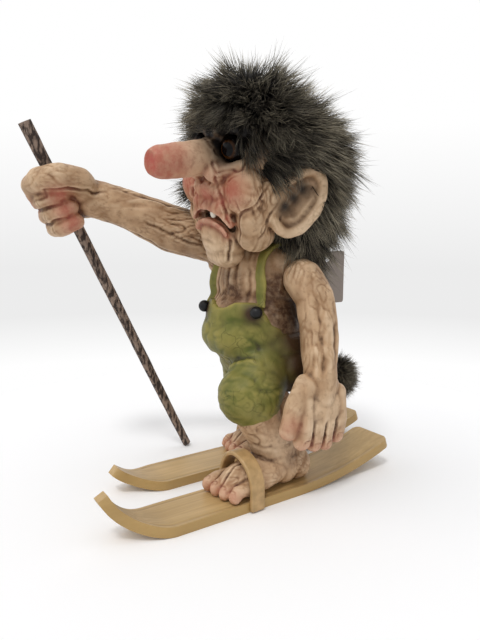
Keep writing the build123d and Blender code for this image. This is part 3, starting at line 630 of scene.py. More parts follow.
def make_ski(name, middle, tip_y, tail_y, tip_length, tip_rise):
    """One ski as a shaped grid with thickness."""
    length = tail_y - tip_y
    lengths, widths = 160, 29
    bpy.ops.mesh.primitive_grid_add(x_subdivisions=widths - 1, y_subdivisions=lengths - 1, size=2)
    piece = named(name)
    co = points(piece)
    across = np.sign(co[:, 0]) * np.abs(co[:, 0]) ** 0.7
    run = (co[:, 1] + 1) / 2
    y = tip_y + 0.8 + run * (length - 0.8)
    front = np.clip((tip_y + tip_length - y) / (tip_length - NECK_LENGTH), 0, 1)
    swell = front * front * (3 - 2 * front)
    half = SKI_WIDTH / 2 + (TIP_WIDTH / 2 - SKI_WIDTH / 2) * swell
    knob = np.clip((tip_y + NECK_LENGTH - y) / NECK_LENGTH, 0, 1)
    half = half * np.sqrt(1 - ROUNDING * knob**2)
    corner = np.clip((y - (tip_y + length - CORNER)) / CORNER, 0, 1)
    half = half - CORNER * (1 - np.sqrt(1 - ROUNDING * corner**2))
    z = lifted(tip_y + tip_length - y, tip_length, tip_rise)
    z = z + lifted(y - (tip_y + length - TAIL_LENGTH), TAIL_LENGTH, TAIL_RISE) + SKI_THICK
    inset = (1 - np.abs(across)) * half
    line = np.exp(-(((inset - LINE_INSET) / LINE_WIDTH) ** 2))
    z = z - LINE_DEPTH * line * (1 - swell) * np.clip((tail_y - 6 - y) / 5, 0, 1)
    put(piece, np.stack([middle + across * half, y, z], 1))
    modify(piece, "SOLIDIFY", thickness=SKI_THICK - 0.05, offset=-1)
    modify(piece, "BEVEL", width=0.9, segments=3, limit_method="ANGLE", angle_limit=math.radians(50))
    co = points(piece)
    put(piece, np.maximum(co, [-1e3, -1e3, 0.02]))
    face_out(piece)
    # Wear and painted shade in the grooves and hollows of the board.
    note(piece, "wash_and_painted_shade", 0.6 * hollows(piece)[0])
    return piece


for label, sizes in (("left", (22, -77.5, 90, 30, 20.5)), ("right", (-22, -55.5, 111, 26, 10.5))):
    deliver(make_ski(f"ski_board_{label}", *sizes), "figure", "ski", board, f"ski_{label}")
    bpy.ops.object.shade_smooth_by_angle(angle=math.radians(40))

# %% [markdown]
# ## Binding straps
# A strip of leather stands on the two edges of the ski and arches over the instep. It is a grid bent along the arch,
# with thickness and rounded edges, and a little unevenness from handling.

# %% Binding straps
STRAP_WIDTH, STRAP_THICK, INSTEP = 8.0, 2.3, 19.4


def make_strap(name, middle, strap_y):
    """One strap as a bent strip."""
    steps, widths = 72, 9
    bpy.ops.mesh.primitive_grid_add(x_subdivisions=steps - 1, y_subdivisions=widths - 1, size=2)
    piece = named(name)
    co = points(piece)
    half, springing = SKI_WIDTH / 2 + 0.1, 9.4
    crown = SKI_THICK + INSTEP - springing + 0.3
    leg = springing - 0.7
    arc = math.pi * math.sqrt((half**2 + crown**2) / 2)
    walk = (co[:, 0] + 1) / 2 * (arc + 2 * leg)
    angle = np.clip((walk - leg) / arc, 0, 1) * math.pi
    x = -half * np.cos(angle)
    z = springing + crown * np.sin(angle)
    z = z - np.clip(leg - walk, 0, leg) - np.clip(walk - leg - arc, 0, leg)
    y = strap_y + co[:, 1] * STRAP_WIDTH / 2 + 0.6 * np.sin(angle) * np.sin(walk * 0.15)
    put(piece, np.stack([middle + x, y, z], 1))
    modify(piece, "SOLIDIFY", thickness=STRAP_THICK, offset=1)
    modify(piece, "BEVEL", width=0.7, segments=3, limit_method="ANGLE", angle_limit=math.radians(50))
    face_out(piece)
    lumpy(piece, 6, 0.12, 3)
    # Wear and painted shade in the hollows of the strap.
    note(piece, "wash_and_painted_shade", 0.5 * hollows(piece)[0])
    return piece


for label, middle, strap_y in (("left", 22, -5), ("right", -22, 35)):
    deliver(make_strap(f"binding_band_{label}", middle, strap_y), "figure", "strap", strap, f"binding_strap_{label}")

# %% [markdown]
# ## Legs and feet
# A bare foot with thick toes stands on each ski, and a short shin goes up into the trouser leg. The sole is pressed
# flat on the board. Toes are rubbed with rose, and folds run round the ankle. The left leg is bent forwards, so its
# calf shows below the hem.

# %% Legs and feet
SHIN = 13


def make_leg(name, side, middle, ankle_y, knee):
    """A shin, a foot and four toes."""
    lumps = chain(((middle, ankle_y - 1, 15), 11), (knee, 12.5))
    lumps += ball((middle, ankle_y + 8, 13), (10, 9, 9))
    if side > 0:
        lumps += ball((knee[0], knee[1] + 11, knee[2] - 2), (10.5, 9.5, 14))
    lumps += ball((middle, ankle_y - 16, 13.2), (12.2, 23, 9.3), (9, 0, 0))
    lumps += ball((middle, ankle_y - 27, 10.6), (13, 9.5, 6.4)) + ball((middle, ankle_y + 3, 17), (10.5, 11, 10))
    toes = []
    for number in range(4):
        x = middle + side * (-9.6 + 6.4 * number)
        reach, radius = ((43.2, 4.1), (42.8, 3.6), (41.6, 3.4), (39.6, 3.2))[number]
        knuckle = (x, ankle_y - 34, 10.4)
        tip = (x + side * 0.3, ankle_y - reach + radius, SKI_THICK + radius)
        lumps += chain(((x, ankle_y - 25, 11), radius), (knuckle, radius), (tip, radius * 0.95))
        toes.append((x, ankle_y - reach, radius))
    piece = clay(name, lumps, 0.6, 4)
    for drop in (0, 7):
        back = ankle_y - 4 - drop * 0.6
        turn = np.linspace(0, 6.3, 24)
        ring = [(middle + SHIN * math.cos(a), back + SHIN * math.sin(a), 22 + drop) for a in turn]
        carve(piece, ring, 1.1, 0.4)
    for (x, tip_y, _), (next_x, *_) in zip(toes, toes[1:]):
        gap = (x + next_x) / 2
        carve(piece, [(gap, tip_y + 20, 16), (gap, tip_y + 12, 12), (gap, tip_y + 3, 7)], 0.7, 0.6)
    for x, tip_y, radius in toes:
        top = SKI_THICK + radius * 1.9
        nail = [(x + 1.8 * math.cos(a), tip_y + 2.4 + 1.6 * math.sin(a), top) for a in np.linspace(-0.4, 3.5, 10)]
        carve(piece, nail, 0.45, 0.3)
    lumpy(piece, 7, 0.5, 3)
    folds(piece, (8, 8, 6), 0.5, 3, width=0.25)
    folds(piece, (4, 4, 3), 0.25, 9)
    put(piece, np.maximum(points(piece), [-1e3, -1e3, SKI_THICK + 0.05]))
    rosy = [((x, tip_y + 2, 7.5), 5.5, 0.5) for x, tip_y, _ in toes]
    pale = [((middle + 8, ankle_y - 10, 30), 11, 0.6), ((middle + 4, ankle_y - 14, 22), 8, 0.3)]
    stain = [((middle, ankle_y - 6, 30), 13, 0.45), ((middle + 10, ankle_y - 2, 20), 6, 0.5)]
    paint_notes(piece, rosy=rosy, pale=pale, stain=stain)
    return piece


for label, sizes in (("left", (1, 22, 21, (21, 5, 47))), ("right", (-1, -22, 57, (-21, 33, 47)))):
    deliver(make_leg(f"leg_and_foot_{label}", *sizes), "figure", "skin", skin, f"leg_{label}")

# %% [markdown]
# ## Dungarees
# A round belly hangs over two short, baggy trouser legs. A bib rises in front between the buttons and falls away to
# the sides. The lumps are melted together, and blocks above the waist and below the hems are then taken out.

# %% Dungarees


def block(centre, size, turn=(0, 0, 0)):
    """A plain block, for cutting."""
    bpy.ops.mesh.primitive_cube_add(size=1, location=centre)
    cube = bpy.context.object
    cube.scale = size
    cube.rotation_euler = Euler([math.radians(angle) for angle in turn])
    return [cube]


lumps = ball((0, 17.5, 84), (28, 27, 20), (0, 0, 12))
lumps += ball((0, 17.5, 93), (27, 25, 18), (0, 0, 12))
lumps += ball((3, 24, 77), (28.5, 26, 18)) + ball((1, 5, 82), (22, 15, 13))
lumps += chain(((14, 15, 72), 15.5), ((20.5, 4.5, 58), 15.5), ((21, 2.5, 53), 15))
lumps += ball((21, -1.5, 55), (15, 14.8, 14.5)) + ball((20, 25, 66), (14, 14, 14))
lumps += chain(((-12, 20, 72), 15.5), ((-20.5, 30, 57), 16), ((-21, 31, 50), 15.8))
cutters = block((0, 42, 125), (90, 60, 80), (0, 0, 12))
cutters += block((26.5, 12, 127), (40, 90, 80), (0, -32, 12))
cutters += block((-26.5, 22, 127), (40, 90, 80), (0, 32, 12))
cutters += ball((2.5, -4, 107.5), (12, 30, 9.5))
cutters += block((0, 0, 127), (90, 90, 52), (0, 0, 12))
cutters += block((22, 0.5, 22.8), (46, 80, 34), (28, 0, 0))
cutters += block((-22, 34, 23), (42, 60, 35), (10, 0, 0))
dungarees = clay("dungarees", lumps, 0.8, 7, cutters)
for path, width, depth in (
    ([(-8, -7, 69), (4, -6, 69), (14, -2, 70), (24, 3, 73)], 1.3, 1.4),
    ([(-2, -4, 68), (0, 2, 60), (1, 8, 52)], 2.0, 1.6),
    ([(-4, -6, 70), (-14, 2, 70), (-24, 14, 71)], 1.6, 1.0),
    ([(8, -12, 63), (18, -16, 64), (28, -10, 67)], 1.3, 0.3),
    ([(32, -6, 62), (36, 4, 60), (33, 12, 62)], 1.4, 0.4),
    ([(10, -12, 47), (20, -16, 45), (30, -9, 47)], 1.2, 0.3),
    ([(-13, -8, 92), (0, -10, 88), (14, -7, 91)], 1.6, 0.35),
    ([(20, -6, 92), (24, 0, 84), (25, 4, 78)], 1.2, 0.3),
):
    carve(dungarees, path, width, depth)
lumpy(dungarees, 14, 0.8, 5)
lumpy(dungarees, 5, 0.25, 6)
folds(dungarees, (11, 11, 7), 0.4, 21, width=0.25)
folds(dungarees, (5, 5, 4), 0.2, 23)
# Painted shade: the flank under the arm, the back, between the legs and a ring round each button are painted dark.
shade = [((32, 26, 84), 15, 1.3), ((32, 26, 70), 14, 1.2), ((31, 22, 58), 10, 1.0), ((0, 46, 74), 22, 0.5)]
shade += [((0, 8, 56), 9, 0.9), ((34, 12, 66), 9, 0.6)]
for side in (-1, 1):
    shade.append((CHEST_POSE @ Vector((side * 18, -3, 96.5)), 5.2, 1.7))
# The patch below the left knee is painted shade, added to the wash.
paint_notes(dungarees, dark_paint_and_painted_shade=shade, stain=[((20, -14, 48), 13, 0.3)])
deliver(dungarees, "figure", "cloth", cloth, "trousers")

# %% [markdown]
# ## Chest and back
# The bare chest is lean and sinewy: ridges run from the neck to the ribs with deep hollows between them, where the
# brown wash and painted shade gather. The flank under the left arm is painted dark as shade.

# %% Chest and back
lumps = ball((0, 21, 108), (26, 21, 26)) + ball((0, 20, 90), (27.5, 26.3, 23))
lumps += ball((0, 24, 119), (24, 15.5, 11)) + chain(((0, 21, 122), 11), ((0, 18, 141), 9.5))
for side in (-1, 1):
    lumps += chain(((side * 4, 9, 127), 3.0), ((side * 6, 5.5, 116), 3.4), ((side * 7, 3.5, 104), 3.2))
    lumps += ball((side * 15, 19, 118), (10, 9, 9))
chest = clay("chest_and_back", lumps, 0.8, 5)
for side in (-1, 1):
    carve(chest, [(side * 2.5, 3, 124), (side * 3, 1, 112), (side * 3.5, -1, 102)], 1.1, 0.6)
    carve(chest, [(side * 10, 3, 120), (side * 12, 2, 110), (side * 11, 0, 100)], 1.0, 0.6)
    for height in (99, 106, 113):
        carve(chest, [(side * 15, 2, height), (side * 21, 9, height - 3), (side * 26, 20, height - 5)], 1.0, 0.4)
carve(chest, [(0, 41, 124), (0, 42, 108), (0, 45, 92)], 2.2, 1.2)
lumpy(chest, (7, 7, 12), 0.4, 29)
folds(chest, (5, 5, 16), 0.5, 31, width=0.25)
co = points(chest)
SHOULDER_FACE = 23.3
flat = np.clip((co[:, 2] - 104) / 4, 0, 1)
beyond = np.abs(co[:, 0]) - SHOULDER_FACE
kept = np.sign(co[:, 0]) * (SHOULDER_FACE + beyond * (1 - flat))
co[:, 0] = np.where(np.abs(co[:, 0]) > SHOULDER_FACE, kept, co[:, 0])
put(chest, co)
# Brown wash and painted shade: in the hollows of the chest and, darkest, on the flank under the left arm.
brown_wash_and_painted_shade = [((2, -1, 104), 8, 1.4), ((-4, 1, 112), 6, 0.7), ((5, 1, 114), 5, 0.6), ((25, 10, 109), 9, 1.5)]
brown_wash_and_painted_shade += [((27, 18, 96), 15, 1.6), ((22, 2, 102), 8, 1.4), ((0, 10, 126), 9, 0.7)]
paint_notes(chest, stain=brown_wash_and_painted_shade, dark_paint_and_painted_shade=[((27, 20, 96), 13, 0.6)])
deliver(chest, "figure", "skin", skin, "trunk", pose=CHEST_POSE)

# %% [markdown]
# ## Braces
# Each brace is a soft band that lies on the chest, goes over the shoulder and down the back to the waist. Its line is
# found by shooting rays at the finished chest from outside, so the band lies on the skin all the way.

# %% Braces
FRONT_END, BACK_END = 88, 73


def on_skin(piece, start, aim):
    """The point where a ray from start towards aim meets a piece, and the normal there, in millimetres."""
    inverse = TO_FRAME.inverted()
    begin = TO_FRAME @ Vector(start)
    direction = (TO_FRAME @ Vector(aim) - begin).normalized()
    hit, where, out, _ = piece.ray_cast(begin, direction)
    return (inverse @ where, out) if hit else (None, None)


def from_faces(name, co, faces):
    """A new piece from points and faces."""
    mesh = bpy.data.meshes.new(name)
    mesh.from_pydata(co, [], faces)
    return added(name, mesh)


def make_brace(name, side):
    """A band that follows the chest from the bib to the waist at the back."""
    low, drift = Vector((side * 18, 24, 104)), Vector((side * -4.5, 0, 0))
    stops = []
    for angle in np.linspace(-92, 262, 64):
        a = math.radians(angle)
        middle = low + Vector((0, 0, 6)) + drift * min(max(0.3 + math.sin(a), 0), 1)
        outside = middle + Vector((0, -math.cos(a) * 90, math.sin(a) * 90))
        where, out = on_skin(chest, CHEST_POSE @ outside, CHEST_POSE @ middle)
        if where is not None and where.z > (FRONT_END if angle < 90 else BACK_END):
            stops.append((where, out))
    ahead = CHEST_POSE.to_3x3() @ Vector((1, 0, 0))
    reach = 5
    even = []
    for number in range(len(stops)):
        near = stops[max(0, number - reach) : number + reach + 1]
        _, where, _, _ = chest.closest_point_on_mesh(TO_FRAME @ (sum((w for w, _ in near), Vector()) / len(near)))
        even.append((TO_FRAME.inverted() @ where, sum((n for _, n in near), Vector()).normalized()))
    stops = even
    rows, half, thick = [], 3.2, 1.9
    section = [(-1, 0.1), (-0.9, 1.5), (-0.4, thick), (0.4, thick), (0.9, 1.5), (1, 0.1), (0.6, -0.8), (-0.6, -0.8)]
    for where, out in stops:
        out = (out - ahead * out.dot(ahead)).normalized()
        for across, lift in section:
            wide = half * (1.0 + 0.12 * math.sin(where.z * 0.3))
            rows.append(where + ahead * (across * wide) + out * lift)
    ring, faces = len(section), []
    for row in range(len(stops) - 1):
        for k in range(ring):
            a, b = row * ring + k, row * ring + (k + 1) % ring
            faces.append((a, b, b + ring, a + ring))
    faces += [tuple(range(ring))[::-1], tuple(range((len(stops) - 1) * ring, len(stops) * ring))]
    piece = from_faces(name, rows, faces)
    face_out(piece)
    melt(piece, 0.6, 5)
    lumpy(piece, 6, 0.25, 8)
    paint_notes(piece)
    return piece


for label, side in (("left", 1), ("right", -1)):
    deliver(make_brace(f"shoulder_band_{label}", side), "figure", "cloth", cloth, f"brace_{label}")
    dress(nodes[f"bib_button_{label}"], jet)

# %% [markdown]
# ## Arms and hands
# The left arm hangs with an open hand: a flat palm, four thick fingers that run into each other, and a thumb. It is
# cast in one piece with its hand, so all the lumps are melted together. The folds are weaker on the hand than above.

# %% Left arm
HAND_X, HAND_Y = 44, 26.5
lumps = chain(((29.5, 27, 113), 10), ((36, 29.5, 104), 9.8), ((39.5, 29.5, 92), 10.0), ((43, 27.5, 70), 8.4))
lumps += ball((HAND_X, HAND_Y, 60), (7, 12, 10)) + ball((HAND_X, HAND_Y, 52), (6.4, 14.5, 8))
FINGER_GAP = 7.3
fingers = [(HAND_Y - 10.8 + FINGER_GAP * number, tip) for number, tip in enumerate((30.2, 27.6, 27.0, 29.6))]
finger_tips = []
for y, tip in fingers:
    lumps += chain(((HAND_X + 1, y, 56), 5.2), ((HAND_X + 1.8, y, 43), 5.0), ((HAND_X + 0.6, y, tip + 4.4), 4.4))
    finger_tips.append((HAND_X + 2, y, tip + 2))
lumps += ball((HAND_X + 1.2, HAND_Y + 1, 50), (6.2, 14.6, 12))
lumps += chain(((43, 27.5, 78), 8.6), ((44.3, 27.0, 66), 8.6), ((45, 26.5, 56), 7.4))
lumps += chain(((HAND_X, 18, 62), 6.0), ((HAND_X, 12, 52), 5.6), ((HAND_X - 1, 8.5, 41), 4.8))
finger_tips.append((HAND_X - 1, 7, 38))
left_arm = clay("arm_left_hanging", lumps, 0.7, 4)
for y, tip in fingers:
    nail = [(HAND_X + 4.8, y + 1.9 * math.cos(a), tip + 4 + 2.2 * math.sin(a)) for a in np.linspace(-0.3, 3.44, 12)]
    carve(left_arm, nail, 0.45, 0.25)
for number in range(3):
    y = HAND_Y - 7.2 + FINGER_GAP * number
    carve(left_arm, [(HAND_X + 6, y, 45), (HAND_X + 5.5, y, 39), (HAND_X + 4, y, 31)], 0.8, 0.7)
for path in (
    [(46, 22, 106), (50, 23, 90), (51, 23, 76), (51, 22, 66)],
    [(46, 32, 100), (50, 32, 84), (51, 31, 70)],
    [(44, 38, 92), (46, 38, 78), (47, 37, 68)],
):
    carve(left_arm, path, 1.8, 1.0)
lumpy(left_arm, (6, 6, 15), 0.5, 40)
above_hand = np.clip((points(left_arm)[:, 2] - 48) / 14, 0.25, 1)
folds(left_arm, (7, 6, 22), 0.5, 41, above_hand, width=0.25)
folds(left_arm, (3.5, 3.5, 8), 0.25, 47, above_hand)
# Painted highlight: paler patches on the back of the hand and fingers.
pale = [((HAND_X + 6, y, z), 7, 0.6) for y in (20, 30) for z in (44, 52)]
paint_notes(left_arm, rosy=[(tip, 5.0, 0.5) for tip in finger_tips] + [((HAND_X + 2, 8, 44), 6, 0.4)], pale=pale)
deliver(left_arm, "figure", "skin", skin, "arm_left")

# %% [markdown]
# ### Right arm and fist
# The fist is laid out round the pole: a place on it is an angle round the twig, a distance from it and a height along
# it. Four fingers roll round the front and the thumb lies over them. A bore leaves room for the twig to slide.

# %% Right arm and fist
POLE_LEAN = math.radians(25.3)
POLE_AXIS = Vector((0, -math.sin(POLE_LEAN), math.cos(POLE_LEAN)))
POLE_FOOT = Vector((-60, 8, 0.4 + 2.6 * math.sin(POLE_LEAN)))
GRIP = POLE_FOOT + POLE_AXIS * 169
BORE_RADIUS, POLE_ROOM = 3.55, 3.5
SIDEWAYS = Vector((1, 0, 0))
FORE = POLE_AXIS.cross(SIDEWAYS)


def round_pole(angle, radius, height):
    """A point round the pole at the fist: 0 is towards the figure's left, 90 towards its back, 270 in front."""
    a = math.radians(angle)
    return GRIP + SIDEWAYS * (radius * math.cos(a)) + FORE * (radius * math.sin(a)) + POLE_AXIS * height


lumps = ball((-29, 17, 121), (9.5, 9.5, 10))
lumps += chain(((-26, 16, 129), 12), ((-41, -9, 138), 13.2), ((-50, -35, 150), 10.6), ((-55, -50, 154), 10.5))
for place, radii in (
    (round_pole(110, 11, -1), (9.5, 9.5, 15)),
    (round_pole(170, 10, 0), (7.5, 9, 16)),
    (GRIP - POLE_AXIS, (10.5, 10, 16)),
):
    lumps += ball(place, radii, (25, 0, 0))
FINGER = [(165, 11.5, 1.05), (205, 12.0, 1.1), (250, 11.0, 1.0)]
FINGER += [(290, 10.8, 1.02), (322, 10.6, 0.95), (346, 10.2, 0.9)]
fist_tips, fist_folds = [], []
for number in range(4):
    height = 11.0 - 8.0 * number
    size = (5.2, 5.4, 5.2, 4.8)[number]
    lumps += chain(*[(round_pole(angle, reach, height), size * swell) for angle, reach, swell in FINGER])
    if number:
        fist_tips.append((round_pole(338, 14, height), 6.5, 0.75))
    fist_tips.append((round_pole(225, 16, height), 4.5, 0.45))
    fist_folds.append([round_pole(angle, 15, height - 4.0) for angle in range(190, 352, 12)])
thumb = [(70, 12, -5, 9.0), (38, 13, 4, 8.4), (358, 12.8, 10.5, 7.6)]
thumb += [(312, 12, 13, 6.6), (272, 11.5, 11.5, 5.9), (250, 11.5, 7, 5.2)]
lumps += chain(*[(round_pole(a, r, h), size) for a, r, h, size in thumb])
bore = rod(GRIP - POLE_AXIS * 40, GRIP + POLE_AXIS * 40, BORE_RADIUS, BORE_RADIUS)
right_arm = clay("arm_right_with_fist", lumps, 0.7, 4, bore)
for path in fist_folds[1:3]:
    carve(right_arm, path, 0.7, 0.8)
under_thumb = [(60, 20, -8), (25, 20, -1), (355, 20, 3), (320, 19, 5.5), (280, 18, 5)]
carve(right_arm, [round_pole(a, r, h) for a, r, h in under_thumb], 0.8, 1.0)
for number in range(1, 4):
    height = 11.0 - 8.0 * number
    for angle in (240, 290):
        path = [round_pole(angle, 17, height + step) for step in (-3, 0, 3)]
        carve(right_arm, path, 0.6, 0.3)
for path in (
    [(-31, 4, 122), (-36, -8, 126), (-43, -20, 133)],
    [(-24, 6, 128), (-31, -10, 134), (-40, -26, 143)],
    [(-33, -2, 146), (-40, -20, 150), (-46, -38, 156)],
    [(-38, -14, 127), (-46, -30, 138), (-52, -44, 146)],
):
    carve(right_arm, path, 0.9, 0.8)
lumpy(right_arm, (8, 13, 6), 0.5, 50)
off_fist = 1 - 0.8 * np.clip(1.6 * spots(points(right_arm), [(GRIP, 24, 1)]), 0, 1)
folds(right_arm, (6, 20, 5), 0.6, 51, off_fist, width=0.2)
folds(right_arm, (3, 8, 2.5), 0.3, 57, off_fist)
co = points(right_arm)
axis = np.array(POLE_AXIS)
radial = (co - np.array(GRIP)) - np.outer((co - np.array(GRIP)) @ axis, axis)
distance = np.linalg.norm(radial, axis=1)
near = (distance < POLE_ROOM) & (np.abs((co - np.array(GRIP)) @ axis) < 30)
co[near] += radial[near] / distance[near, None] * (POLE_ROOM - distance[near, None])
put(right_arm, co)
tips = fist_tips + [(round_pole(235, 17, 2), 7, 1.0)]
paint_notes(right_arm, rosy=tips, stain=[((-30, 0, 128), 14, 0.4), ((-42, -14, 127), 8, 0.3)])
deliver(right_arm, "figure", "skin", skin, "arm_right")

# %% [markdown]
# ## Ski pole
# The pole is a straight twig, cut at both ends, thicker at the top. A cylinder with many rings is tapered, and its
# bark is raised in long ridges with a few knots. It slides through the fist, so it belongs to the pole's own body.

# %% Ski pole
POLE_LENGTH, POLE_BOTTOM, POLE_TOP = 210.0, 2.6, 3.5
bpy.ops.mesh.primitive_cylinder_add(vertices=40, radius=1, depth=2, end_fill_type="TRIFAN")
pole = named("twig_pole")
only(pole)
bpy.ops.object.mode_set(mode="EDIT")
bpy.ops.mesh.select_all(action="SELECT")
bpy.ops.mesh.bisect(plane_co=(0, 0, 0), plane_no=(0, 0, 1))
bpy.ops.object.mode_set(mode="OBJECT")
modify(pole, "BEVEL", width=0.004, segments=2, limit_method="ANGLE", angle_limit=math.radians(60))
rings = 150
only(pole)
bpy.ops.object.mode_set(mode="EDIT")
for ring in range(1, rings):
    bpy.ops.mesh.select_all(action="SELECT")
    bpy.ops.mesh.bisect(plane_co=(0, 0, 2 * ring / rings - 1), plane_no=(0, 0, 1))
bpy.ops.object.mode_set(mode="OBJECT")
co = points(pole)
share = (co[:, 2] + 1) / 2
radius = POLE_BOTTOM + (POLE_TOP - POLE_BOTTOM) * share - 0.15
co = np.stack([co[:, 0] * radius, co[:, 1] * radius, share * POLE_LENGTH], 1)
wall = np.clip(np.linalg.norm(co[:, :2], axis=1) / radius, 0, 1)
ridges = field(co, (1.5, 1.5, 22), 61) + 0.5 * field(co, (0.9, 0.9, 7), 63)
knots = spots(co, [((3, 0, 62), 5, 1), ((-2, -2, 118), 5, 0.7), ((1, 3, 200), 4, 0.7)])
out = co.copy()
out[:, 2] = 0
out /= np.maximum(np.linalg.norm(out, axis=1), 1e-6)[:, None]
height = np.clip(0.16 * ridges + 0.15 * knots, -0.3, 0.14)
co = co + out * (height * (wall > 0.8))[:, None]
put(pole, co)
# Cut ends and the grooves between bark ridges get the dark mark: painted shade, and the bark's own dark grooves.
note(pole, "wash_and_painted_shade", np.clip(np.where(wall < 0.75, 0.85, np.clip(-0.9 * ridges - 0.1, 0, 0.9)), 0, 1))
stand = Matrix.Translation(POLE_FOOT) @ UP.rotation_difference(POLE_AXIS).to_matrix().to_4x4()
deliver(pole, "pole", "twig", bark, "pole", pose=stand)

# %% [markdown]
# ## Tail
# A thin bare tail leaves the seat of the dungarees and ends in a tuft of the same fur as the wig.

# %% Tail
lumps = chain(((0, 38, 64), 3.4), ((1.5, 47, 56), 3.1), ((3, 56, 50.5), 2.9), ((8, 73, 51), 2.6))
tail = clay("bare_tail", lumps, 0.5, 4)
folds(tail, (6, 3, 6), 0.3, 71)
paint_notes(tail)
deliver(tail, "figure", "skin", skin, "tail")

# %% [markdown]
# ## Head
# The face is all folds: a long, blunt nose with broad wings, heavy brows, bags under the eyes, cheeks that hang beside
# a wide mouth, and a knob of a chin. Each is a ball or a rod. Sockets, nostrils, mouth and the bowls of the big ears
# are cut out of the melted clay, and the creases are carved last.

# %% Head, the lumps


def bow(half_width, low, rise, y_middle, y_end, count):
    """Points along the bow of the mouth, in front of the face, from its left to its right corner."""
    stops = []
    for angle in np.linspace(12, 168, count):
        a = math.radians(angle)
        share = math.sin(a) ** 2
        stops.append((half_width * math.cos(a), y_end + (y_middle - y_end) * share, low + rise * math.sin(a)))
    return stops


lumps = ball((0, 19, 175), (30, 28, 24)) + ball((0, 13, 163), (28, 24, 22)) + ball((0, 7, 146), (20, 16, 18))
lumps += ball((0, 8, 183), (23, 18, 18))
lumps += ball((0, -1.5, 137), (13.5, 11.5, 14)) + ball((0, -1, 128), (11.5, 9.5, 8))
lumps += chain(((-7, -9, 161), 5.5), ((7, -9, 161), 5.5)) + chain(((-9, -8, 153), 5.5), ((9, -8, 153), 5.5))
lumps += chain(((0, -4, 177), 9.5), ((0, -16, 175.4), 8.3), ((0, -35, 174), 8.0))
lumps += ball((0, -38.0, 173.9), (7.7, 8.3, 7.7))
for side in (-1, 1):
    lumps += ball((side * 6.8, -11.5, 169), (5.0, 7, 5.0))
    lumps += chain(((side * 3, -8.5, 187.5), 3.6), ((side * 11, -7.5, 190), 3.8), ((side * 20, -2.5, 187.5), 3.6))
    lumps += chain(((side * 6, -10.0, 172.6), 2.6), ((side * 12, -9.8, 170.6), 2.9), ((side * 18.5, -6, 173), 2.8))
    lumps += ball((side * 18, -3.7, 161), (11, 9, 12)) + ball((side * 20, 1, 149), (8.5, 9, 12))
    lumps += ball((side * 23, 6, 158), (8, 9, 11)) + ball((side * 20, 4, 178), (8, 9, 10))
    lumps += ball((side * 18, 4, 140), (9, 10, 9))
upper = bow(14.5, 142.5, 9.5, -12.2, -8.8, 9)
lumps += chain(*[(p, 2.2) for p in upper])
lower = bow(12.5, 138.2, 7.0, -11.8, -9.2, 9)
lumps += chain(*[(p, 1.5) for p in lower])
print("lumps in the face:", len(lumps))

# %% [markdown]
# ### Ears
# An ear is a leaf-shaped plate that leans back and stands out from the head, with a thick rim and a deep bowl. It is
# modelled lying in its own plane and then placed on both sides.

# %% Ears


def ear_place(side):
    """The plane of an ear: its local X runs across the ear, its Y up along it, its Z out of its face."""
    turn = math.radians(28)
    back = Vector((math.sin(turn), math.cos(turn), 0))
    outward = Vector((math.cos(turn), -math.sin(turn), 0))
    stand = Matrix((back, Vector((0, 0, 1)), outward)).transposed().to_4x4()
    flip = Matrix.Scale(-1, 4, Vector((1, 0, 0))) if side < 0 else Matrix.Identity(4)
    lean = Matrix.Rotation(math.radians(-28), 4, "Z")
    return flip @ Matrix.Translation((32.5, 15.5, 156)) @ stand @ lean @ Matrix.Scale(0.92, 4)


def rounded(path, rounds):
    """A path with its corners cut again and again, until it runs smoothly."""
    path = np.asarray(path, float)
    for _ in range(rounds):
        first, second = 0.75 * path[:-1] + 0.25 * path[1:], 0.25 * path[:-1] + 0.75 * path[1:]
        path = np.concatenate([path[:1], np.stack([first, second], 1).reshape(-1, path.shape[1]), path[-1:]])
    return path


ear_rim = rounded([(-7, -17), (2, -21), (10, -15.5), (13.5, -4), (13, 8), (7.5, 18), (0, 21), (-7, 15), (-11, 7)], 2)


def ear_lumps(side):
    """The rim and the plate of one ear."""
    place = ear_place(side)
    made = chain(*[(place @ Vector((x * 0.86, y * 0.86 + 1.5, 1.6)), 2.7) for x, y in ear_rim])
    for y in range(-14, 17, 3):
        wide = 9 * math.sqrt(max(0.1, 1 - (y / 19) ** 2))
        made += rod(place @ Vector((-wide, y, -1.6)), place @ Vector((wide, y, -1.6)), 2.9, 2.9)
    made += chain((place @ Vector((-9, -12, -3)), 6), (place @ Vector((-10, 4, -4)), 6))
    return made


def ear_bowl(side):
    """The hollow of one ear."""
    place = ear_place(side)
    made = chain((place @ Vector((1, -4, 4.6)), 4.6), (place @ Vector((3, 9, 4.6)), 4.4))
    return made + ball(place @ Vector((-1, -7, 4.8)), 4.0)


for side in (-1, 1):
    lumps += ear_lumps(side)
cutters = block((0, -53.6, 174), (30, 20, 30))
cutters += chain(*[(p, 2.5) for p in bow(14.8, 139.6, 9.0, -17.5, -11.5, 9)])
cutters += chain(*[(p, 2.4) for p in bow(14.0, 139.6, 9.0, -12.0, -7.0, 9)])
cutters += chain(*[(p, 2.6) for p in bow(10.5, 141.2, 7.6, -8.0, -4.0, 9)])
for side in (-1, 1):
    cutters += ball((side * 12, -6.2, 180), 6.7) + ball((side * 12.4, -11.5, 180), (6.0, 5, 5.2))
    cutters += ball((side * 3.6, -15, 164.6), (2.0, 3.0, 2.0))
    cutters += ear_bowl(side)
head = clay("head_with_ears", lumps, 0.65, 4, cutters)
print("head vertices", len(head.data.vertices))

# %% [markdown]
# ### Folds of the face
# Creases cross the bridge of the nose, ring the eyes, frame the cheeks and run down to the chin. Two nets of fine
# wrinkles lie over it, weaker on nose, chin and ears. Then the paint notes are taken, with painted shade in the eye
# sockets, the mouth and the ear bowls and painted highlight on nose, chin and ear rims, and the head is posed.

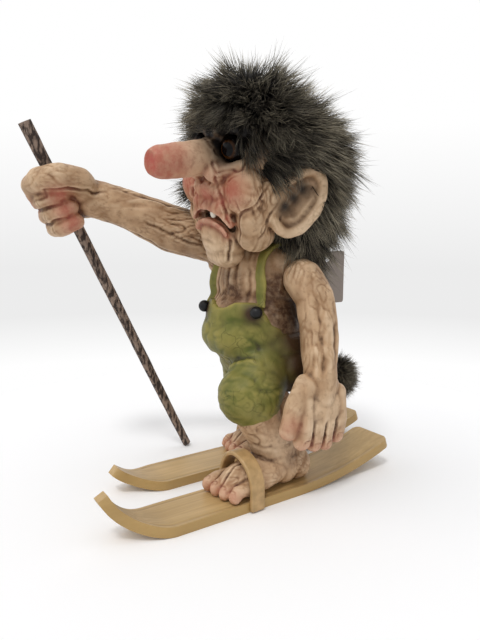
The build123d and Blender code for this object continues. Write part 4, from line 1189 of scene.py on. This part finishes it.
# %% Face folds
for side in (-1, 1):
    for path, width, depth in (
        ([(8.5, -15, 170), (11, -15, 162), (14.5, -13, 154), (17, -10, 144)], 0.8, 1.2),
        ([(15.5, -9, 146), (15, -8.5, 139), (13, -8, 131), (10, -7, 124)], 0.8, 1.1),
        ([(29, 4, 166), (24, -4, 158.5), (20.5, -7, 151), (18.5, -6, 142), (15.5, -3, 132)], 0.6, 0.5),
        ([(30, 8, 160), (27, 3, 150), (23, 1, 141), (18, 1, 133)], 0.6, 0.35),
        ([(29, 6, 154), (26.5, 1, 147), (24, 0, 142)], 0.5, 0.3),
        ([(25, -1, 164), (22.5, -5, 158)], 0.6, 0.4),
        ([(31, 10, 153), (28, 6, 144), (23, 6, 135)], 0.6, 0.35),
        ([(5, -15, 175), (12, -15.5, 169.5), (20, -10, 171), (25, -2, 177)], 0.7, 0.7),
        ([(8, -14.5, 168), (14, -14, 166), (21, -9, 168.5)], 0.6, 0.4),
        ([(22, -6, 182), (27, 2, 181)], 0.6, 0.4),
        ([(22, -6, 179), (27, 1, 175)], 0.6, 0.4),
    ):
        carve(head, [(side * x, y, z) for x, y, z in path], width, depth)
carve(head, [(-7, -14, 176), (0, -15, 184), (7, -14, 176)], 0.8, 0.5)
carve(head, [(-8, -12, 134), (0, -14, 135.5), (8, -12, 134)], 1.2, 0.35)
away_from_nose = np.clip((points(head)[:, 1] + 18) / 5, 0.1, 1)
lumpy(head, 6, 0.3, 80)
calm = [((0, -10, 131), 12, 0.8)]
for side in (-1, 1):
    calm += [(ear_place(side) @ Vector((4, y, 2)), 12, 0.75) for y in (-10, 2, 12)]
    calm += [((side * 20, 2, 141), 9, 0.6)]
away_from_nose *= 1 - spots(points(head), calm)
folds(head, (6, 6, 12), 0.5, 81, away_from_nose, width=0.2)
folds(head, (3, 3, 6), 0.3, 87, away_from_nose)
# Dark paint and painted shade round the eyes, between the brows and on the temples; painted shade in the mouth and in
# the ear bowls under the fur.
pale, dark_paint_and_painted_shade = [], [((0, -11, 187), 7, 1.1)]
rosy = [((0, -44, 174), 13, 1.0), ((0, -37, 174), 12, 1.0), ((0, -26, 174), 12, 0.3)]
dark_paint_and_painted_shade += [((x, y + 5, z), 3.2, 0.85) for x, y, z in bow(12.5, 140.6, 8.2, -10.0, -7.0, 11)]
for side in (-1, 1):
    dark_paint_and_painted_shade += [((side * 12, -9, 180.5), 8.2, 1.6), ((side * 12, -12, 189), 9.5, 1.5), ((side * 20, -6, 187), 8, 1.3)]
    dark_paint_and_painted_shade += [((side * 5.5, -11, 181.5), 5, 1.2), ((side * 23, -2, 180), 7, 1.1)]
    dark_paint_and_painted_shade += [(ear_place(side) @ Vector((-3.0 + 0.3 * y, y, 0.5)), 4.6, 1.0) for y in (-4, 2, 8)]
    pale += [(ear_place(side) @ Vector((8, y, 2)), 6, 0.5) for y in (-8, 0, 8)]
    rosy += [((side * 18, -12, 162), 8.5, 0.75), ((side * 8, -16, 167), 6, 0.4), ((side * 9, -13, 156), 6.5, 0.6)]
# Painted highlight: the top of the nose, the chin and the ear rims are painted paler.
pale += [((0, -24, 177), 14, 0.75), ((3, -12, 130), 10, 0.6)]
rosy += [((0, -14, 158), 8, 0.7), ((0, -13, 151), 8, 0.6)] + [(p, 3.2, 0.7) for p in upper + lower]
paint_notes(head, rosy=rosy, dark_paint_and_painted_shade=dark_paint_and_painted_shade, pale=pale)
deliver(head, "figure", "skin", skin, "head", "ear_left", "ear_right", pose=HEAD_POSE)

# %% [markdown]
# ## Eyes and tooth
# Each eye is a ball of glass with its painted ring facing ahead and a little outwards. One square tooth hangs from the
# upper gum.

# %% Eyes and tooth
EYE_RADIUS = 6.35
for label, side in (("left", 1), ("right", -1)):
    centre = Vector((side * 12, -5.6, 180))
    look = Vector((side * 0.3, -1, -0.05)).normalized()
    bpy.ops.mesh.primitive_uv_sphere_add(segments=48, ring_count=32, radius=EYE_RADIUS, location=centre)
    bpy.context.object.rotation_euler = UP.rotation_difference(look).to_euler()
    eye = join(f"glass_eye_{label}", [bpy.context.object])
    away = (points(eye) - np.array(centre)) / EYE_RADIUS
    facing = away @ np.array(look)
    note(eye, "ring", np.where(facing > 0, np.sqrt(np.clip(1 - facing**2, 0, 1)) / 0.75, 1.4))
    deliver(eye, "figure", "eye_glass", eye_glass, f"eye_{label}", f"iris_{label}", pose=HEAD_POSE)

lumps = ball((3.8, -11.4, 150.0), (2.0, 1.5, 3.0)) + ball((3.8, -11.4, 148.8), (1.8, 1.3, 1.8))
front_tooth = clay("front_tooth", lumps, 0.3, 3)
deliver(front_tooth, "figure", "tooth", ivory, "tooth", pose=HEAD_POSE)

# %% [markdown]
# ## Fur
# The wig is a long-pile fur hide glued to the head: a dark pelt, and hairs that grow out of it in small locks. Each
# hair is a thin closed spike of three sides that bends with its lock. The hairs lie in a few pieces so that none is
# heavy.

# %% Hairs


def scatter(piece, count):
    """Random places on the faces of a piece, evenly by area, with normals."""
    mesh = piece.data
    mesh.calc_loop_triangles()
    corners = np.empty(len(mesh.loop_triangles) * 3, np.int32)
    mesh.loop_triangles.foreach_get("vertices", corners)
    co = points(piece)[corners.reshape(-1, 3)]
    cross = np.cross(co[:, 1] - co[:, 0], co[:, 2] - co[:, 0])
    area = np.linalg.norm(cross, axis=1)
    pick = rng.choice(len(area), count, p=area / area.sum())
    u, v = rng.random((2, count))
    flip = u + v > 1
    u[flip], v[flip] = 1 - u[flip], 1 - v[flip]
    spot = co[pick, 0] + u[:, None] * (co[pick, 1] - co[pick, 0]) + v[:, None] * (co[pick, 2] - co[pick, 0])
    return spot, cross[pick] / area[pick, None]


def unit(vectors):
    """Vectors of length 1."""
    return vectors / np.maximum(np.linalg.norm(vectors, axis=1), 1e-9)[:, None]


def bare(piece):
    """Marks a pelt as all root, so that it stays dark between its hairs."""
    for name in ("along", "tone"):
        note(piece, name, np.zeros(len(piece.data.vertices)))


def hairs(name, roots, aims, lengths, bends, tones, thick):
    """Hairs as one mesh: rings of three corners at the root and on the way, and a point at the tip."""
    count = len(roots)
    stops = (0.0, 0.4, 0.75)
    side = unit(np.cross(aims, rng.normal(size=(count, 3))))
    third = np.cross(aims, side)
    co, along = [], []
    for t in stops:
        middle = roots + aims * (lengths * t)[:, None] + bends * (lengths * t * t)[:, None]
        radius = thick * (1 - 0.75 * t) * (0.8 + 0.4 * tones)
        for k in range(3):
            a = 2 * math.pi * k / 3
            co.append(middle + (side * math.cos(a) + third * math.sin(a)) * radius[:, None])
            along.append(np.full(count, t))
    co.append(roots + aims * lengths[:, None] + bends * lengths[:, None])
    along.append(np.ones(count))
    corners = np.stack(co, 1)
    base = (np.arange(count) * 10)[:, None]
    tris = [(2, 1, 0)]
    for ring in (0, 3):
        for k in range(3):
            a, b = ring + k, ring + (k + 1) % 3
            tris += [(a, b, b + 3), (a, b + 3, a + 3)]
    tris += [(6, 7, 9), (7, 8, 9), (8, 6, 9)]
    faces = (base[:, :, None] + np.array(tris)[None]).reshape(-1, 3)
    mesh = bpy.data.meshes.new(name)
    mesh.vertices.add(count * 10)
    mesh.vertices.foreach_set("co", corners.astype(np.float32).ravel())
    mesh.loops.add(len(faces) * 3)
    mesh.loops.foreach_set("vertex_index", faces.astype(np.int32).ravel())
    mesh.polygons.add(len(faces))
    mesh.polygons.foreach_set("loop_start", np.arange(0, len(faces) * 3, 3, dtype=np.int32))
    mesh.update(calc_edges=True)
    piece = added(name, mesh)
    note(piece, "along", np.stack(along, 1).ravel())
    note(piece, "tone", np.repeat(tones, 10))
    return piece


# %% [markdown]
# ### The wig
# The pelt is clay with the face and the ears left open. Hairs scattered over it lie away from the crown and follow
# their lock, and the temples are swept back. Hairs that would end in the face or in an ear are left out, and so are
# those where the tag swings, which leaves a parting. A small tuft grows in front of the right ear.

# %% The wig
lumps = ball((0, 23, 169), (34.5, 35, 31.5)) + ball((2, 8.5, 190), (21, 17.5, 18)) + ball((0, 38, 149), (27, 25, 25))
lumps += ball((0, 20, 164), (32, 28, 24))
for side in (-1, 1):
    lumps += ball((side * 19, 31, 138), (11, 12, 12))
pelt_face = [(-90, 191), (-7, 189), (-4, 180), (1, 172), (10, 166)]
pelt_face += [(20, 150), (22, 140), (23, 122), (23, 60), (-90, 60)]
corners = [(x, y, z) for x in (-70, 70) for y, z in pelt_face]
turns = len(pelt_face)
sides = [tuple(range(turns)), tuple(range(2 * turns - 1, turns - 1, -1))]
sides += [(k, k + turns, (k + 1) % turns + turns, (k + 1) % turns) for k in range(turns)]
opening = from_faces("face_opening", corners, sides)
pelt = clay("wig_pelt", lumps, 1.2, 6)
cut(pelt, opening)
for side in (-1, 1):
    cut(pelt, join("ear_room", ball(ear_place(side) @ Vector((3, 0, 3)), (8, 12, 18), (28, 0, side * 28))))
melt(pelt, 1.2, 5)

HAIRS, LOCKS, BURN, HAIR_RADIUS = 60000, 2600, 700, 0.22
TAG_HINGE, PARTING, SWEEP = (14, 58, 122), 1.5, 29
roots, out = scatter(pelt, HAIRS)
middle, crown = np.array([0, 23, 170]), np.array([6, 7, 208])
radial = unit(roots - middle)
keep = (out * radial).sum(1) > -0.2
roots, out, radial = roots[keep], out[keep], radial[keep]
flow = unit((roots - crown) - ((roots - crown) * radial).sum(1)[:, None] * radial)
lock_seeds = roots[rng.choice(len(roots), LOCKS, replace=False)]
lock = np.concatenate([
    np.argmin(((some[:, None] - lock_seeds[None]) ** 2).sum(2), axis=1) for some in np.array_split(roots, 60)
])
lock_turn = rng.normal(scale=0.2, size=lock_seeds.shape)
lock_bend = rng.normal(scale=0.2, size=lock_seeds.shape) + np.array([0, 0, -0.12])
front = np.clip((8 - roots[:, 1]) / 14, 0, 1) * np.clip((roots[:, 2] - 172) / 18, 0, 1)
aims = 0.5 * radial + 0.72 * flow + 0.15 * out + lock_turn[lock] + rng.normal(scale=0.1, size=roots.shape)
aims = unit(aims + front[:, None] * np.array([0, -0.1, -0.1]))
low = np.clip((150 - roots[:, 2]) / 20, 0, 1)
temple = np.clip((190 - roots[:, 2]) / 8, 0, 1) * np.clip((18 - roots[:, 1]) / 12, 0, 1)
aims = unit(aims + temple[:, None] * np.array([0, 0.9, 0]) + low[:, None] * np.array([0, 0.2, 0]))
lengths = (13.0 + 4.0 * rng.random(len(roots)) + 2.5 * rng.random(LOCKS)[lock]) * (1 - 0.25 * front)
stray = rng.random(len(roots)) < 0.06
lengths[stray] *= 1.28
bends = lock_bend[lock] + rng.normal(scale=0.08, size=roots.shape)
bends = bends + 0.55 * (lock_seeds[lock] - roots) / lengths[:, None]
tips = roots + (aims + bends) * lengths[:, None]
in_face = (tips[:, 1] < -5) & (tips[:, 2] < 186) & (np.abs(tips[:, 0]) < 24)
ear_inner = np.zeros(len(tips), bool)
for side in (-1, 1):
    inverse = np.array(ear_place(side).inverted())
    for spots_on in (tips, (roots + tips) / 2):
        local = spots_on @ inverse[:3, :3].T + inverse[:3, 3]
        ear_inner |= (local[:, 0] > -4) & (local[:, 0] < 13) & (np.abs(local[:, 1] - 1) < 18) & (local[:, 2] > -2)
in_parting = np.zeros(len(tips), bool)
pose = np.array(HEAD_POSE)
for t in np.linspace(0, 1, 9):
    spots_on = roots + aims * (lengths * t)[:, None] + bends * (lengths * t * t)[:, None]
    spots_on = spots_on @ pose[:3, :3].T + pose[:3, 3]
    reach = np.hypot(spots_on[:, 1] - TAG_HINGE[1], spots_on[:, 2] - TAG_HINGE[2])
    in_parting |= (np.abs(spots_on[:, 0] - TAG_HINGE[0]) < PARTING) & (reach < SWEEP)
print("hairs left out where the tag swings:", in_parting.sum())
good = ~in_face & ~ear_inner & ~in_parting
roots, aims, lengths, bends, lock = roots[good], aims[good], lengths[good], bends[good], lock[good]
burn_roots = np.array([-27.5, 4.0, 158.5]) + rng.normal(size=(BURN, 3)) * np.array([1.5, 3.0, 3.5])
burn_aims = unit(np.array([-0.75, -0.45, -0.4]) + rng.normal(scale=0.2, size=(BURN, 3)))
roots, aims = np.concatenate([roots, burn_roots]), np.concatenate([aims, burn_aims])
lengths = np.concatenate([lengths, 10 + 5 * rng.random(BURN)])
bends = np.concatenate([bends, rng.normal(scale=0.15, size=(BURN, 3))])
lock = np.concatenate([lock, rng.integers(LOCKS, size=BURN)])
tones = np.clip(0.22 + 0.16 * rng.normal(size=LOCKS)[lock] + 0.16 * rng.normal(size=len(roots)), 0, 1)
pale = rng.random(len(roots)) < 0.22
tones[pale] = np.clip(tones[pale] + 0.5, 0, 1)
tones *= 1 - 0.65 * spots(roots, [((12, -2, 194), 15, 1), ((22, 0, 184), 14, 1)])
order = np.argsort(roots[:, 1] + 0.4 * roots[:, 2])
print("hairs of the wig:", len(roots))
bare(pelt)
deliver(pelt, "figure", "fur", fur, "wig", pose=HEAD_POSE)
for number, chosen in enumerate(np.array_split(order, 5)):
    kept = [values[chosen] for values in (roots, aims, lengths, bends, tones)]
    deliver(hairs(f"wig_hair_{number + 1}", *kept, HAIR_RADIUS), "figure", "fur", fur, pose=HEAD_POSE)

# %% [markdown]
# ### The tuft of the tail
# The same fur, shorter, grows out of a small core at the end of the tail.

# %% The tuft of the tail
TUFT, TUFT_HAIRS, TUFT_RADIUS = np.array([7.0, 76.5, 51.0]), 4200, 0.2
core = clay("tuft_core", ball(TUFT, (4.2, 4.6, 8.0)), 0.8, 2)
roots, out = scatter(core, TUFT_HAIRS)
aims = unit(out + np.array([0, 0.3, -0.1]) + rng.normal(scale=0.25, size=out.shape))
lengths = 4.5 + 3.5 * rng.random(len(roots))
bends = rng.normal(scale=0.2, size=out.shape) + np.array([0, 0.1, -0.1])
tones = np.clip(rng.normal(0.35, 0.2, len(roots)), 0, 1)
bare(core)
deliver(core, "figure", "fur", fur, "tail_tuft")
tuft_hair = hairs("tuft_hair", roots, aims, lengths, bends, tones, TUFT_RADIUS)
deliver(tuft_hair, "figure", "fur", fur)

# %% [markdown]
# ## Fittings
# The tag, its wire loop, the screws, the pegs and the fillings keep the shapes of the frame and only get a finish.

# %% Fittings
for name, material in (
    ("swing_tag", card),
    ("tag_loop", steel),
    ("foot_screws", steel),
    ("neck_peg", beech),
    ("shoulder_pegs", beech),
    ("trunk_filling", foam),
    ("head_filling", foam),
):
    dress(nodes[name], material)
print("finished fittings")

# %% [markdown]
# ## Studio
# The figure stands on a round sheet of white paper that keeps its shadow. The world is the inside of a light tent: a
# soft gradient that camera and reflections see, and a plain level that lights everything else. Three far lamps from
# above and from the sides give gentle shadows.

# %% Floor, light and camera
FLOOR_RADIUS, AMBIENT = 0.25, 0.6
floor_white, tree, shader, place = finish("white_paper", 0.9)
feed(tree, shader, {"Base Color": linear("#fafafb"), "Specular IOR Level": 0.1})
bpy.ops.mesh.primitive_circle_add(vertices=128, radius=FLOOR_RADIUS, fill_type="NGON")
floor = named("paper_floor")
floor.data.materials.append(floor_white)
floor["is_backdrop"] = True

world = bpy.data.worlds.new("light_tent")
bpy.context.scene.world = world
world.use_nodes = True
tree = world.node_tree
height = node(tree, "SeparateXYZ", {0: node(tree, "TexCoord", out="Generated")}, out="Z")
above = node(tree, "MapRange", {"Value": height, "From Min": -0.06, "From Max": 0.17, "To Min": 0.84, "To Max": 1.0})
below = node(tree, "MapRange", {"Value": height, "From Min": -0.14, "From Max": -0.24, "To Min": 0.0, "To Max": 0.2})
paper = node(tree, "Math", {0: above, 1: below}, operation="ADD", use_clamp=True)
seen = node(tree, "LightPath", out="Is Camera Ray")
for kind in ("Is Glossy Ray", "Is Transmission Ray"):
    seen = node(tree, "Math", {0: seen, 1: node(tree, "LightPath", out=kind)}, operation="MAXIMUM")
level = node(tree, "Mix", {0: seen, 2: AMBIENT, 3: paper}, data_type="FLOAT")
feed(tree, tree.nodes["Background"], {"Strength": level, "Color": (1, 1, 1, 1)})


def lamp(name, rise, bearing, spread, strength):
    """A broad, far light: its height over the horizon, its bearing from the front towards the left, its spread."""
    light = bpy.data.lights.new(name, "SUN")
    light.energy = strength
    light.angle = math.radians(spread)
    added(name, light).rotation_euler = (0, math.radians(90 - rise), math.radians(bearing - 90))


lamp("top_light", 60, 35, 10, 0.8)
lamp("sky_light", 75, 20, 70, 0.65)
lamp("side_light", 35, -30, 60, 0.35)

camera = added("camera", bpy.data.cameras.new("camera"))
CAMERA_PLACE, LENS = Vector((245.4, -156.4, 136.6)), 31.5
heading, dip = math.radians(56), math.radians(9)
gaze = Vector((-math.sin(heading) * math.cos(dip), math.cos(heading) * math.cos(dip), -math.sin(dip)))
camera.location = ORIGIN + CAMERA_PLACE * MM
camera.rotation_euler = gaze.to_track_quat("-Z", "Y").to_euler()
camera.data.sensor_width = 36
camera.data.lens = LENS
camera.data.clip_start = 0.01
scene = bpy.context.scene
scene.camera = camera
scene.view_settings.view_transform = "Standard"
print("camera at", [round(v, 3) for v in camera.location])

# %% [markdown]
# ## Size
# The visual pieces are measured against the frame.

# %% Measure and finish
made_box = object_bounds()
sizes = {"cad": [list(corner) for corner in cad_box], "visual": [list(corner) for corner in made_box]}
print(sizes)
